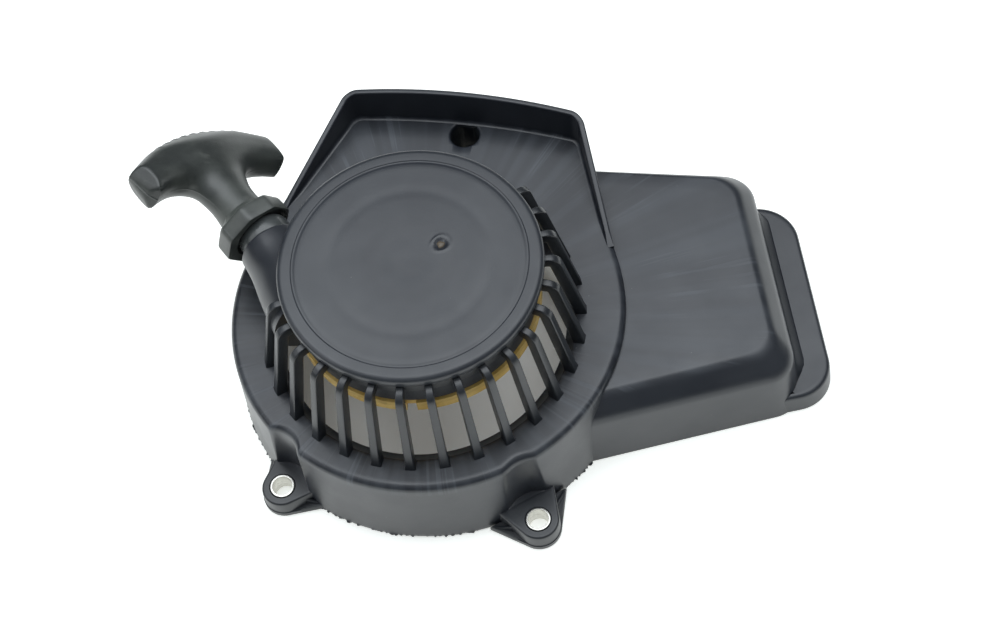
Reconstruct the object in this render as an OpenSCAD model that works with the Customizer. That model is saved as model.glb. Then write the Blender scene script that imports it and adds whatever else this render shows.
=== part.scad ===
// Recoil starter for a small two-stroke engine: fan shroud with a caged spring cup,
// rope reel with two pawls, recoil spring, starter rope and T grip.
// Origin: crank axis in the plane of the mounting face. +Z points away from the engine,
// +X towards the side cover, +Y towards the visor.

/* [Fan shroud] */
// Height of the deck above the mounting face
deck_z = 35; // [30:0.5:45]
// Outside radius of the round wall at the deck
fan_r = 68.5; // [64:0.5:80]
// How far the round wall's centre sits from the crank axis, towards the visor
fan_offset = 5.4; // [3:0.1:8]
// How much the round wall spreads towards the mounting face
draft = 2; // [1:0.5:4]
// Thickness of the moulding's walls
wall = 2.5; // [2:0.1:3]
// Rounding of the deck's outer edge
deck_round = 3; // [1:0.5:3]
// Radius of the opening in the deck, at the deck's face
opening_r = 52.2; // [51:0.1:55]
// How much the opening narrows to the deck's underside
opening_slope = 3; // [1:0.5:4]
// Turn of the mounting axis from +Y towards +X, in degrees
mount_turn = 18.4; // [0:0.1:30]

/* [Visor] */
// Half width of the visor's back corners
visor_half = 43; // [40:0.5:48]
// Distance of the back corners from the crank axis
visor_back = 82.5; // [80:0.5:92]
// How far the back wall bows out between the corners
visor_bow = 3.2; // [1:0.1:5]
// Height of the visor above the deck at the back corners
visor_rise = 15; // [8:0.5:20]
// Where the visor's rim meets the deck, along the mounting axis
visor_start = 38; // [30:1:50]
// Thickness of the visor's rim
visor_wall = 2.2; // [1.8:0.1:2.5]
// Rounding of the visor's corners
visor_round = 6; // [4:0.5:9]

/* [Side cover] */
// Reach of the side cover from the crank axis at the mounting face
cover_reach = 125.5; // [112:0.5:140]
// Distance of the front face from the crank axis at the right end
cover_front = 41; // [38:0.5:46]
// How much further out the front face is at the left end
cover_taper = 7; // [2:0.5:9]
// Distance of the back face from the crank axis at the right end
cover_back = 43.5; // [40:0.5:48]
// Height of the side cover's top
cover_top = 31.5; // [28:0.5:33]
// Height where its shoulder begins
cover_shoulder = 24; // [20:0.5:26]
// Width of the shoulder at the front
shoulder_front = 6.5; // [3:0.5:8]
// Width of the shoulder at the right
shoulder_side = 6.5; // [2:0.5:8]
// Width of the shoulder at the back
shoulder_back = 3.5; // [2:0.5:5]
// How far the side cover's walls lean in below the shoulder
cover_draft = 2.5; // [1:0.5:4]
// Rounding of the side cover's corners
cover_round = 9; // [5:0.5:11]
// Reach of the low shelf past the side cover
shelf_reach = 13; // [8:0.5:16]
// Height of the low shelf
shelf_z = 9; // [7:0.5:12]

/* [Spring cup and cage] */
// Top of the cap above the mounting face
cap_z = 76; // [74:0.5:80]
// Outside radius of the cap's rim
cap_r = 44.2; // [43.6:0.1:46]
// Thickness of the cap's plate
cap_t = 3; // [2.5:0.1:4]
// Radius of the shallow groove on the cap
groove_r = 39; // [30:0.5:40]
// Outside radius of the cup wall
cup_r = 41.2; // [41:0.1:42]
// Thickness of the cup wall
cup_wall = 2.4; // [2:0.1:2.6]
// Lower edge of the cup wall
cup_bottom = 56.7; // [55:0.1:56.9]
// Number of rib places around the cage
rib_places = 30; // [24:2:36]
// Thickness of a rib
rib_t = 2.8; // [1.8:0.1:3.2]
// Radial depth of a rib
rib_depth = 4.1; // [3:0.1:5]
// Radius of the ribs' outer face at the elbow
elbow_r = 49.2; // [48:0.1:51]
// Where the solid back of the cage begins and ends, in degrees from +X
cage_back = [42, 176]; // [30:1:180]
// Thickness of the cage's solid back
cage_back_t = 2.2; // [1.8:0.1:3]
// Radius of the centre post
post_r = 7; // [6:0.1:8]

/* [Rope path] */
// Diameter of the starter rope
rope_d = 3; // [2.5:0.1:3.5]
// Height of the rope's run above the mounting face
rope_z = 58.5; // [58:0.1:59]
// Radius of the reel's drum under the rope
drum_r = 29; // [27:0.5:31]
// Direction in which the rope is pulled, in degrees from +X
pull_angle = 112; // [108:1:116]
// Distance of the nozzle's shoulder along the rope from the crank axis
nozzle_end = 43.5; // [40:0.5:46]
// Outside radius of the nozzle
nozzle_r = 11.3; // [10:0.1:12]
// Outside radius of the eyelet's collar
eyelet_r = 9.3; // [8:0.1:9.5]
// How far the collar stands out of the nozzle
eyelet_out = 5; // [4:0.5:6]

/* [Handle] */
// Half span between the centres of the grip's ends
grip_half = 26; // [20:0.5:30]
// Radius of the grip's middle
grip_r = 8.8; // [8:0.1:10]
// Radius of the grip's ends
grip_end_r = 7.2; // [6:0.1:8]
// How far the ends bend back towards the nozzle
grip_droop = 4.8; // [3:0.1:9]
// Turn of the grip about the rope, in degrees
grip_turn = 38; // [0:0.5:45]
// Lean of the grip from the rope's run, in degrees
grip_lean = 12; // [0:1:12]
// Distance from the eyelet to the grip's middle
grip_reach = 36; // [32:0.5:44]
// Radius of the skirt across its corners
skirt_r = 13.4; // [12.5:0.1:14]
// Length of the skirt
skirt_h = 7.5; // [7:0.5:11]

/* [Reel and clutch] */
// Radius of the reel's lower rim
reel_r = 42; // [41:0.1:43]
// Width of the notch in the reel's rim
notch_w = 3.4; // [2:0.1:5]
// Lower edge of the reel's rim
reel_bottom = 51.3; // [50:0.1:52]
// Radius from the crank axis to the pawls' pivots
pawl_place = 17; // [16.5:0.1:17.5]
// Radius of the pawls' pivot posts
pawl_pin_r = 2.5; // [2:0.1:2.7]
// Thickness of a pawl
pawl_t = 3; // [2.5:0.1:3]
// Length of a pawl from its pivot to its tip
pawl_len = 17; // [16:0.5:18]
// Radius of the guide plate
guide_r = 23.6; // [23.4:0.1:24.5]
// Thickness of the guide plate
guide_t = 2; // [1.5:0.1:2]
// Width of the recoil spring's strip
strip_w = 6; // [5:0.1:6]
// Thickness of the recoil spring's strip
strip_t = 0.6; // [0.4:0.1:0.8]
// Turns of the recoil spring
spring_turns = 8; // [6:1:9]

/* [Mounting] */
// Left lug's bearing from the fan's centre, in the mounting frame
left_lug_turn = 235.309; // [230:0.001:240]
// How far the left lug's bore stands outside the fan's radius
left_lug_out = 6.174; // [6:0.001:8]
// Right lug's bearing from the fan's centre
right_lug_turn = 307.727; // [303:0.001:312]
// How far the right lug's bore stands outside the fan's radius
right_lug_out = 9.129; // [6:0.001:10]
// Height of the lugs
lug_h = 8; // [7:0.5:12]
// Radius of the lugs
lug_r = 7.2; // [6.8:0.1:8]
// Outside radius of a bush
bush_r = 4.3; // [4:0.1:4.5]
// Bore radius of a bush
bush_bore = 3.5; // [3:0.1:3.6]
// How far a bush stands out of its lug
bush_proud = 0.2; // [0.1:0.1:0.5]
// Radius of the bolt well's clearance hole
well_r = 5.3; // [5:0.1:5.6]
// Thickness of the bolt well's wall
well_wall = 2; // [1.6:0.1:2]

/* [Hidden] */
left_lug_at = [0, fan_offset] + (fan_r + left_lug_out) * [cos(left_lug_turn), sin(left_lug_turn)];
right_lug_at = [0, fan_offset] + (fan_r + right_lug_out) * [cos(right_lug_turn), sin(right_lug_turn)];
$fn = 96;
run = 0.05;                             // radial clearance of a running fit
gap = 0.3;                              // clearance between pieces that pass each other
through = 1;                            // how far a cutter runs past a face
nylon = [0.13, 0.15, 0.18];
ochre = [0.72, 0.56, 0.22];
steel = [0.72, 0.72, 0.74];
rubber = [0.2, 0.21, 0.2];
cord = [0.85, 0.83, 0.78];
base_r = fan_r + draft;
deck_under = deck_z - wall;
cap_under = cap_z - cap_t;
lip_z = cap_under - 1.5;                // underside of the cap's rim
cup_inner = cup_r - cup_wall;
wind_r = drum_r + rope_d * 1.5;         // rope's centre in the outer layer
turn_pitch = rope_d * 0.98;             // spacing of the turns, a little pressed together
winding_low = rope_z - rope_d / 2 - gap;
winding_high = rope_z + turn_pitch + rope_d / 2;
flange_t = 2;
reel_top = winding_high + flange_t + 0.2;
reel_upper_r = cup_inner - 2 * gap;
hub_r = post_r + run + 2.6;
spring_z = reel_top + gap;
hub_top = cap_under - gap;
clutch_face = 44;                       // reel's face over the pawls
clutch_r = guide_r + 3;
post_end = clutch_face - 1.5;
washer_t = 1.2;
washer_r = post_r + 3.5;
pawl_top = clutch_face - 2;            // room for the pawl's spring above it
guide_top = pawl_top - pawl_t - gap;
guide_low = guide_top - guide_t;
shoulder_r = 3;
screw_low = guide_low - 5;              // top of the screw's head
well_at = [0, visor_back + visor_bow - visor_wall - well_r];
mouth = nozzle_end + eyelet_out;        // eyelet's end along the rope
skirt_mouth = -1.2;                     // from the eyelet's end, along the grip
rope_hole_r = rope_d / 2 + 0.3;
eyelet_len = 9.5;                       // from the nozzle's shoulder back to the eyelet's inner end
knot_r = 4.2;
knot_floor = grip_reach - 3.5;
visor_top = visor_rise * (visor_back + visor_bow - visor_start) / (visor_back - visor_start);
peg_r = 1.5;
peg_arm = 8;
pawl_swing = 30;
guide_swing = 20;

// ---- helpers ----

function unit(v) = v / norm(v);

// Arc of radius r that rounds corner b between a and c
function arc(a, b, c, r, n = 8) =
    let (u = unit(a - b), w = unit(c - b), half = acos(u * w) / 2,
         centre = b + unit(u + w) * r / sin(half),
         s = b + u * r / tan(half) - centre, e = b + w * r / tan(half) - centre,
         start = atan2(s[1], s[0]), sweep = atan2(s[0] * e[1] - s[1] * e[0], s * e))
    [for (i = [0:n]) centre + r * [cos(start + sweep * i / n), sin(start + sweep * i / n)]];

// Closed outline with every corner rounded
function rounded(points, r) =
    let (n = len(points))
    [for (i = [0:n - 1]) each arc(points[(i + n - 1) % n], points[i], points[(i + 1) % n], r)];

// Visor's outline in the mounting frame, moved in by inset: two sides that leave the
// round wall just inside its face and a bowed back between rounded corners
function visor_outline(inset) =
    let (centre = [0, fan_offset], corner = [visor_half, visor_back],
         reach = norm(corner - centre),
         side = atan2(corner[1] - fan_offset, corner[0]) - acos(fan_r / reach),
         normal = [cos(side), sin(side)],
         tangent = centre + (fan_r - inset - 0.25) * normal,
         inner = corner - inset * (normal + [0, 1]) / (1 + normal[1]),
         mirrored = [-inner[0], inner[1]],
         right = arc(tangent, inner, mirrored, visor_round - inset),
         back = [for (i = [1:9]) [inner[0] * (0.8 - 0.16 * i), inner[1]]],
         left = [for (i = [8:-1:0]) [-right[i][0], right[i][1]]])
    [for (p = concat([centre, tangent], right, back, left, [[-tangent[0], tangent[1]]]))
        p[1] < inner[1] - visor_round ? p
            : p + [0, visor_bow * max(0, 1 - pow(p[0] / inner[0], 2))]];

module mounting() { rotate([0, 0, -mount_turn]) children(); }

// Local Z runs out along the rope, local X to the right, seen from above
module along_rope() {
    rotate([0, 0, pull_angle - 90]) translate([-wind_r, 0, rope_z]) rotate([-90, 0, 0]) children();
}

// Round tube of radius r along the given points
module swept(points, r, sides = 8) {
    n = len(points);
    rings = [for (i = [0:n - 1])
        let (t = unit(points[min(i + 1, n - 1)] - points[max(i - 1, 0)]),
             u = unit(cross(t, abs(t[2]) < 0.9 ? [0, 0, 1] : [1, 0, 0])), w = cross(t, u))
        for (k = [0:sides - 1]) points[i] + r * (cos(360 * k / sides) * u + sin(360 * k / sides) * w)];
    skin = [for (i = [0:n - 2], k = [0:sides - 1])
        let (a = i * sides + k, b = i * sides + (k + 1) % sides) [a, b, b + sides, a + sides]];
    polyhedron(rings, concat(skin, [[for (k = [sides - 1:-1:0]) k]],
        [[for (k = [0:sides - 1]) (n - 1) * sides + k]]), convexity = 6);
}

module ring(outer, inner, height) {
    difference() {
        cylinder(r = outer, h = height);
        translate([0, 0, -through]) cylinder(r = inner, h = height + 2 * through);
    }
}

// ---- housing moulding ----

// Round body of the shroud: drafted wall and a deck with a rounded edge
module fan_body() {
    edge = [for (i = [0:6]) let (a = 15 * i)
        [fan_r - deck_round * (1 - cos(a)), deck_z - deck_round * (1 - sin(a))]];
    translate([0, fan_offset, 0]) rotate_extrude()
        polygon(concat([[0, 0], [base_r, 0]], edge, [[0, deck_z]]));
}

// Everything inside the shroud's outer faces, for the pieces that meet it
module shroud_envelope() {
    mounting() {
        fan_body();
        linear_extrude(deck_z) polygon(visor_outline(0));
    }
}

module shroud_hollow() {
    mounting() {
        translate([0, fan_offset, -through])
            cylinder(r1 = base_r - wall, r2 = fan_r - wall, h = deck_under + through);
        translate([0, 0, -through]) linear_extrude(deck_under + through) polygon(visor_outline(wall));
    }
}

// Tool clearance over a lug
module lug_scoop(at, extra, low) {
    mounting() translate([at[0], at[1], low]) cylinder(r = lug_r + 1 + extra, h = deck_z + through - low);
}

module fan_shroud() {
    opening_run = opening_slope * through / wall;   // the opening's slope carried past the deck
    color(nylon) difference() {
        union() {
            difference() {
                shroud_envelope();
                shroud_hollow();
            }
            for (at = [left_lug_at, right_lug_at]) intersection() {
                shroud_envelope();
                mounting() translate([at[0], at[1], 0]) cylinder(r = lug_r + 1 + wall, h = deck_z);
            }
        }
        for (at = [left_lug_at, right_lug_at]) lug_scoop(at, 0, lug_h);
        for (at = [left_lug_at, right_lug_at]) mounting() lug_solid(at);
        translate([0, 0, -through]) cylinder(r = cup_r - 1, h = deck_z + 2 * through);
        rotate([0, 0, cage_back[1]]) rotate_extrude(angle = 360 + cage_back[0] - cage_back[1])
            polygon([[cup_r - 2, deck_under - through],
                [opening_r - opening_slope - opening_run, deck_under - through],
                [opening_r + opening_run, deck_z + through], [cup_r - 2, deck_z + through]]);
        mounting() translate([well_at[0], well_at[1], -through])
            cylinder(r = well_r + well_wall, h = deck_z + 2 * through);
    }
}

module visor() {
    rise_angle = atan(visor_rise / (visor_back - visor_start));
    color(nylon) mounting() difference() {
        translate([0, 0, deck_z]) linear_extrude(visor_top + 4) polygon(visor_outline(0));
        translate([0, 0, deck_z - through])
            linear_extrude(visor_top + 4 + 2 * through) polygon(visor_outline(visor_wall));
        translate([0, fan_offset, deck_z - through]) cylinder(r = fan_r - visor_wall, h = 40);
        translate([0, visor_start, deck_z]) rotate([rise_angle, 0, 0])
            translate([-100, -100, 0]) cube([200, 200, 60]);
        translate([-100, visor_start - 100, deck_z - through]) cube([200, 100, 60]);
        translate([well_at[0], well_at[1], deck_z - through]) cylinder(r = well_r, h = 60);
    }
}

// Side cover's outline, moved in by the given amounts at the right, front and back
function cover_outline(side, front, back) = rounded([
    [30, -cover_front - cover_taper + front], [cover_reach - side, -cover_front + front],
    [cover_reach - side, cover_back - back], [52, cover_back + 17 - back]], cover_round);

module cover_block(inset, lower) {
    hull() {
        linear_extrude(0.1) polygon(cover_outline(inset, inset, inset));
        translate([0, 0, cover_shoulder])
            linear_extrude(0.1) polygon(cover_outline(inset + cover_draft, inset + cover_draft, inset + 1));
        translate([0, 0, cover_top - lower - 0.1])
            linear_extrude(0.1) polygon(cover_outline(inset + cover_draft + shoulder_side,
                inset + cover_draft + shoulder_front, inset + 1 + shoulder_back));
    }
}

module shelf_block(inset, lower) {
    reach = cover_reach + shelf_reach;
    outline = [[cover_reach - 8, -cover_front], [reach - 7, -cover_front + 1],
        [reach, -cover_front + 11], [reach, cover_back - 22], [reach - 7, cover_back - 8],
        [cover_reach - 8, cover_back - 4]];
    hull() {
        linear_extrude(0.1) offset(delta = -inset) polygon(rounded(outline, 4));
        translate([0, 0, shelf_z - lower - 0.1])
            linear_extrude(0.1) offset(delta = -inset - 0.8) polygon(rounded(outline, 4));
    }
}

module side_cover() {
    color(nylon) difference() {
        union() {
            cover_block(0, 0);
            shelf_block(0, 0);
        }
        translate([0, 0, -0.05]) cover_block(wall, wall);
        translate([0, 0, -0.05]) shelf_block(wall, wall);
        shroud_envelope();
        translate([-100, -100, -10]) cube([130, 200, 60]);
        mounting() lug_solid(right_lug_at);
        lug_scoop(right_lug_at, 0, lug_h);
    }
}

module spring_cup() {
    lip = [for (i = [0:6]) let (a = 15 * i)
        [cap_r - 2.5 + 2.5 * cos(a), cap_z - 2.5 + 2.5 * sin(a)]];
    color(nylon) difference() {
        union() {
            rotate_extrude() polygon(concat(
                [[0, cap_under], [cup_inner, cap_under], [cup_inner, cup_bottom], [cup_r, cup_bottom],
                 [cup_r, lip_z], [cap_r - 0.8, lip_z], [cap_r, lip_z + 0.8]], lip,
                [[groove_r + 0.4, cap_z], [groove_r, cap_z - 0.4], [groove_r - 0.4, cap_z], [0, cap_z]]));
            translate([0, 0, post_end]) cylinder(r = post_r, h = cap_under - post_end + 1);
        }
        translate([0, 0, post_end - through]) cylinder(r = 2.2, h = 15);
        translate([0, 0, cap_z - 0.8]) translate([11, 4.7, 0]) cylinder(r1 = 1.4, r2 = 3, h = 0.9);
        along_rope() translate([0, 0, 5]) cylinder(r = rope_d, h = 40);
    }
}

// Section of a rib: a short run out from the cup, an elbow and a steep bar to the deck
module rib_section() {
    foot = opening_r + rib_depth;
    top = lip_z - 0.15;
    bend = [for (i = [0:5]) let (a = 90 - 15 * i) [elbow_r - 2.5 + 2.5 * cos(a), top - 2.5 + 2.5 * sin(a)]];
    polygon(concat([[cup_r - 1, top - rib_depth], [cup_r - 1, top]], bend,
        [[foot, deck_z], [opening_r, deck_z], [elbow_r - rib_depth, top - rib_depth]]));
}

module nozzle_shape() {
    along_rope() rotate_extrude() polygon([
        [0, 8], [nozzle_r + 2, 8], [nozzle_r + 1.6, 20], [nozzle_r + 0.6, 28],
        [nozzle_r, 34], [nozzle_r, nozzle_end - 1], [nozzle_r - 1, nozzle_end], [0, nozzle_end]]);
}

// Room for the reel's rim to turn in, below the cup's wall
module reel_room() {
    translate([0, 0, deck_z - through]) cylinder(r = reel_r + gap, h = cup_bottom + through - deck_z);
}

// The ribs stand at even steps round the open side, and a plain wall closes the back
module rib_cage() {
    step = 360 / rib_places;
    open_side = 360 + cage_back[0] - cage_back[1];
    collar_h = rib_depth + 0.8;
    first = ceil((cage_back[1] - 360 + 90 + step / 2) / step);
    last = floor((cage_back[0] + 90 - step / 4) / step);
    color(nylon) difference() {
        union() {
            for (i = [first:last]) rotate([0, 0, -90 + step * i])
                rotate([90, 0, 0]) translate([0, 0, -rib_t / 2]) linear_extrude(rib_t) rib_section();
            translate([0, 0, lip_z - collar_h]) ring(cup_r + 1.8, cup_r - 1.5, collar_h - 0.3);
            rotate([0, 0, cage_back[0]]) rotate_extrude(angle = 360 - open_side)
                polygon([[cup_r - 1, deck_z], [cup_r + cage_back_t, deck_z],
                    [cup_r + cage_back_t, lip_z], [cup_r - 1, lip_z]]);
        }
        translate([0, 0, deck_z - through]) cylinder(r = cup_r, h = cap_z - deck_z);
        reel_room();
        nozzle_shape();
    }
}

module rope_nozzle() {
    color(nylon) difference() {
        nozzle_shape();
        translate([0, 0, cup_bottom - 20]) cylinder(r = cup_r, h = 60);
        translate([0, 0, lip_z]) cylinder(r = cap_r + 1, h = 20);
        reel_room();
        along_rope() translate([0, 0, 5]) cylinder(r = rope_d, h = 50);
        along_rope() translate([0, 0, nozzle_end - eyelet_len]) cylinder(r = eyelet_r - 2, h = 20);
    }
}

// Lug's boss and the web that ties it to the round wall, in the mounting frame
module lug_solid(at) {
    side = unit([at[1] - fan_offset, -at[0]]);
    inward = unit([0, fan_offset] - at);
    linear_extrude(lug_h) polygon([at + side * lug_r * 0.97, at - side * lug_r * 0.97,
        at - side * lug_r * 1.5 + inward * 10, at + side * lug_r * 1.5 + inward * 10]);
    translate([at[0], at[1], 0]) cylinder(r = lug_r, h = lug_h);
}

module lug(at) {
    color(nylon) mounting() difference() {
        lug_solid(at);
        translate([at[0], at[1], -through]) cylinder(r = bush_r, h = lug_h + 2 * through);
        translate([0, fan_offset, -0.01]) cylinder(r = base_r - wall, h = lug_h + 1);
    }
}

module left_lug() { lug(left_lug_at); }

module right_lug() { lug(right_lug_at); }

module bolt_well() {
    color(nylon) mounting() translate([well_at[0], well_at[1], 0]) difference() {
        cylinder(r = well_r + well_wall, h = deck_z);
        translate([0, 0, lug_h]) cylinder(r = well_r, h = deck_z);
        translate([0, 0, -through]) cylinder(r = bush_r, h = deck_z);
    }
}

// ---- fittings on the housing ----

module mounting_bushes() {
    color(steel) mounting() for (at = [left_lug_at, right_lug_at, well_at])
        translate([at[0], at[1], 0]) ring(bush_r, bush_bore, lug_h + bush_proud);
}

module rope_eyelet() {
    color(steel) along_rope() rotate_extrude() polygon(concat(
        [[rope_d, nozzle_end - eyelet_len], [eyelet_r - 2, nozzle_end - eyelet_len],
         [eyelet_r - 2, nozzle_end],
         [eyelet_r, nozzle_end], [eyelet_r, mouth - 1], [eyelet_r - 1, mouth]],
        [for (i = [0:5]) let (a = 90 + 18 * i) [rope_d + 2.5 + 2.5 * cos(a), mouth - 2.5 + 2.5 * sin(a)]]));
}

// Spiral strip, wound closer towards the cup's wall
module recoil_spring() {
    outer = cup_inner - 0.1;
    inner = hub_r + strip_t;
    steps = 28 * spring_turns;
    function coil_r(t) = inner + (outer - strip_t - inner) * pow(t, 0.75);
    function place(i, add) = let (t = i / steps, a = 360 * spring_turns * t)
        (coil_r(t) + add) * [cos(a), sin(a)];
    color(steel) translate([0, 0, spring_z]) linear_extrude(strip_w) polygon(concat(
        [for (i = [0:steps]) place(i, strip_t)], [for (i = [steps:-1:0]) place(i, 0)]));
}

module thrust_washer() {
    color(steel) translate([0, 0, post_end - washer_t]) ring(washer_r, 2.2, washer_t);
}

module centre_screw() {
    head_h = 3.6;
    color(steel) difference() {
        union() {
            translate([0, 0, screw_low - head_h]) cylinder(r = 6.5, h = head_h);
            translate([0, 0, screw_low]) cylinder(r = shoulder_r, h = post_end - washer_t - screw_low);
            translate([0, 0, screw_low]) cylinder(r = 2.2, h = post_end + 12 - screw_low);
        }
        translate([0, 0, screw_low - head_h - through]) cylinder(r = 2.9, h = 2.4 + through, $fn = 6);
    }
}

module brake_spring() {
    coils = 3;
    steps = 16 * coils;
    low = screw_low + 0.5;
    high = guide_low - 0.5;
    color(steel) swept([for (i = [0:steps])
        [4.6 * cos(360 * coils * i / steps), 4.6 * sin(360 * coils * i / steps),
         low + (high - low) * i / steps]], 0.45);
}

// ---- reel and what rides on it ----

module rope_reel() {
    rim_wall = 3;
    color(ochre) difference() {
        union() {
            rotate_extrude() polygon([
                [post_r + run, post_end + gap], [hub_r + 2.6, post_end + gap], [hub_r + 2.6, clutch_face],
                [clutch_r, clutch_face], [clutch_r, reel_bottom + 1.5], [reel_r - rim_wall, reel_bottom + 1.5],
                [reel_r - rim_wall, reel_bottom], [reel_r, reel_bottom], [reel_r, cup_bottom - gap],
                [reel_upper_r, cup_bottom - gap],
                [reel_upper_r, winding_low], [drum_r, winding_low],
                [drum_r, winding_high + 0.2], [reel_upper_r, winding_high + 0.2],
                [reel_upper_r, reel_top], [hub_r, reel_top], [hub_r, hub_top], [post_r + run, hub_top]]);
            for (turn = [0, 180]) rotate([0, 0, turn]) translate([pawl_place, 0, guide_top + gap])
                cylinder(r = pawl_pin_r, h = clutch_face - guide_top);
        }
        rotate([0, 0, -99.7]) translate([reel_r - 2.5, -notch_w / 2, reel_bottom - through])
            cube([10, notch_w, 20]);
        rotate([0, 0, 60]) translate([drum_r - 6, 0, winding_low + rope_d / 2])
            sphere(r = knot_r + 0.2);
        for (turn = [0:60:300]) rotate([0, 0, turn + 30]) translate([22, 0, clutch_face - through])
            cylinder(r = 4, h = winding_low - clutch_face - 1.5);
    }
}

// Four turns: two side by side, in two layers
module wound_rope() {
    color(cord) rotate_extrude() {
        for (layer = [0, 1], row = [0, 1])
            translate([drum_r + rope_d / 2 + layer * rope_d, rope_z + row * turn_pitch])
                circle(r = rope_d / 2, $fn = 24);
        translate([drum_r + 0.3, rope_z - 0.6]) square([rope_d * 1.8, turn_pitch + 1.2]);
    }
}

module reel_knot() {
    color(cord) rotate([0, 0, 60]) translate([drum_r - 6, 0, winding_low + rope_d / 2])
        sphere(r = knot_r, $fn = 40);
}

// ---- rope run and handle ----

// Local Z runs up the grip, local X along its bar; the origin is at the eyelet's end
module along_grip() {
    along_rope() translate([0, 0, mouth]) rotate([0, 0, grip_turn]) rotate([0, -grip_lean, 0]) children();
}

module starter_rope() {
    grip_way = [-sin(grip_lean) * cos(grip_turn), -sin(grip_lean) * sin(grip_turn), cos(grip_lean)];
    start = sqrt(pow(wind_r + rope_d / 2 + gap, 2) - pow(wind_r - rope_d / 2, 2));
    color(cord) along_rope() swept(concat(
        [for (i = [0:6]) [0, 0, start + (mouth - 1 - start) * i / 6]],
        [for (i = [0:6]) [0, 0, mouth] + grip_way * (1 + (knot_floor + 1) * i / 6)]), rope_d / 2, 12);
}

module handle_knot() {
    color(cord) along_grip() translate([0, 0, knot_floor + 1.2 + knot_r - 0.6]) difference() {
        sphere(r = knot_r, $fn = 40);
        translate([0, 0, -knot_r - 1]) cylinder(r = 10, h = 1.6);
    }
}

module handle_washer() {
    color(steel) along_grip() translate([0, 0, knot_floor]) ring(knot_r + 0.6, rope_d / 2 + 0.05, 1.2);
}

module handle_grip() {
    skirt_top = skirt_mouth + skirt_h;
    arch = [for (i = [-2:2]) let (t = i / 2)
        [grip_half * t, grip_reach - grip_droop * t * t, grip_r + (grip_end_r - grip_r) * t * t]];
    color(rubber) along_grip() difference() {
        union() {
            for (i = [0:3]) hull() for (p = [arch[i], arch[i + 1]])
                translate([p[0], 0, p[1]]) sphere(r = p[2], $fn = 32);
            rotate_extrude() polygon([[0, skirt_top - 1], [9.5, skirt_top - 1], [8, skirt_top + 4],
                [7.2, grip_reach - 12], [8.2, grip_reach - 5], [grip_r - 0.2, grip_reach], [0, grip_reach]]);
            translate([0, 0, skirt_mouth]) cylinder(r = skirt_r, h = skirt_h, $fn = 8);
        }
        translate([0, 0, skirt_mouth - through]) cylinder(r = eyelet_r + 1.5, h = 3.4 + through);
        translate([0, 0, -10]) cylinder(r = rope_hole_r, h = 200);
        translate([0, 0, knot_floor]) cylinder(r = knot_r + 0.7, h = 40);
    }
}

// ---- clutch ----

// Pawl in its own frame: pivot at the origin, arm towards -Y and slightly inwards
module pawl_shape() {
    arm = unit([-0.3, -0.95]);
    across = [arm[1], -arm[0]];
    difference() {
        union() {
            cylinder(r = pawl_pin_r + 2, h = pawl_t);
            linear_extrude(pawl_t) polygon([across * -4, across * 4.2, across * 3.4 + arm * 9,
                across * 2.4 + arm * (pawl_len - 1), across * -0.5 + arm * pawl_len,
                across * -2.2 + arm * (pawl_len - 3.5)]);
            translate([peg_arm * arm[0], peg_arm * arm[1], -guide_t]) cylinder(r = peg_r, h = guide_t);
        }
        translate([0, 0, -through]) cylinder(r = pawl_pin_r + run, h = pawl_t + 2 * through);
    }
}

module pawl(turn) {
    color(steel) rotate([0, 0, turn]) translate([pawl_place, 0, pawl_top - pawl_t]) pawl_shape();
}

module pawl_1() { pawl(0); }

module pawl_2() { pawl(180); }

module pawl_spring(turn) {
    wire = 0.25;
    steps = 32;
    low = pawl_top + 0.2 + wire;
    high = clutch_face - 0.2 - wire;
    color(steel) rotate([0, 0, turn]) translate([pawl_place, 0, 0])
        swept([for (i = [0:steps]) let (a = 720 * i / steps)
            [(pawl_pin_r + 0.6) * cos(a), (pawl_pin_r + 0.6) * sin(a), low + (high - low) * i / steps]], wire, 6);
}

module pawl_spring_1() { pawl_spring(0); }

module pawl_spring_2() { pawl_spring(180); }

// Disc with a slot for each pawl's peg, along the peg's path
module pawl_guide() {
    color(steel) translate([0, 0, guide_low]) difference() {
        ring(guide_r, shoulder_r + run, guide_t);
        for (turn = [0, 180], i = [0:4]) rotate([0, 0, turn]) {
            swing = pawl_swing * i / 4;
            peg = [pawl_place, 0] + peg_arm * unit([-0.3, -0.95])[0] * [cos(swing), sin(swing)]
                + peg_arm * unit([-0.3, -0.95])[1] * [-sin(swing), cos(swing)];
            rotate([0, 0, -guide_swing * i / 4]) translate([peg[0], peg[1], -through])
                cylinder(r = peg_r + 0.5, h = guide_t + 2 * through, $fn = 40);
        }
    }
}

fan_shroud();
visor();
side_cover();
spring_cup();
rib_cage();
rope_nozzle();
left_lug();
right_lug();
bolt_well();
mounting_bushes();
rope_eyelet();
recoil_spring();
rope_reel();
wound_rope();
reel_knot();
starter_rope();
handle_knot();
handle_washer();
handle_grip();
pawl_1();
pawl_2();
pawl_spring_1();
pawl_spring_2();
pawl_guide();
brake_spring();
thrust_washer();
centre_screw();
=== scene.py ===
import math
import bmesh
import bpy
import numpy as np
from mathutils import Matrix, Vector


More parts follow.
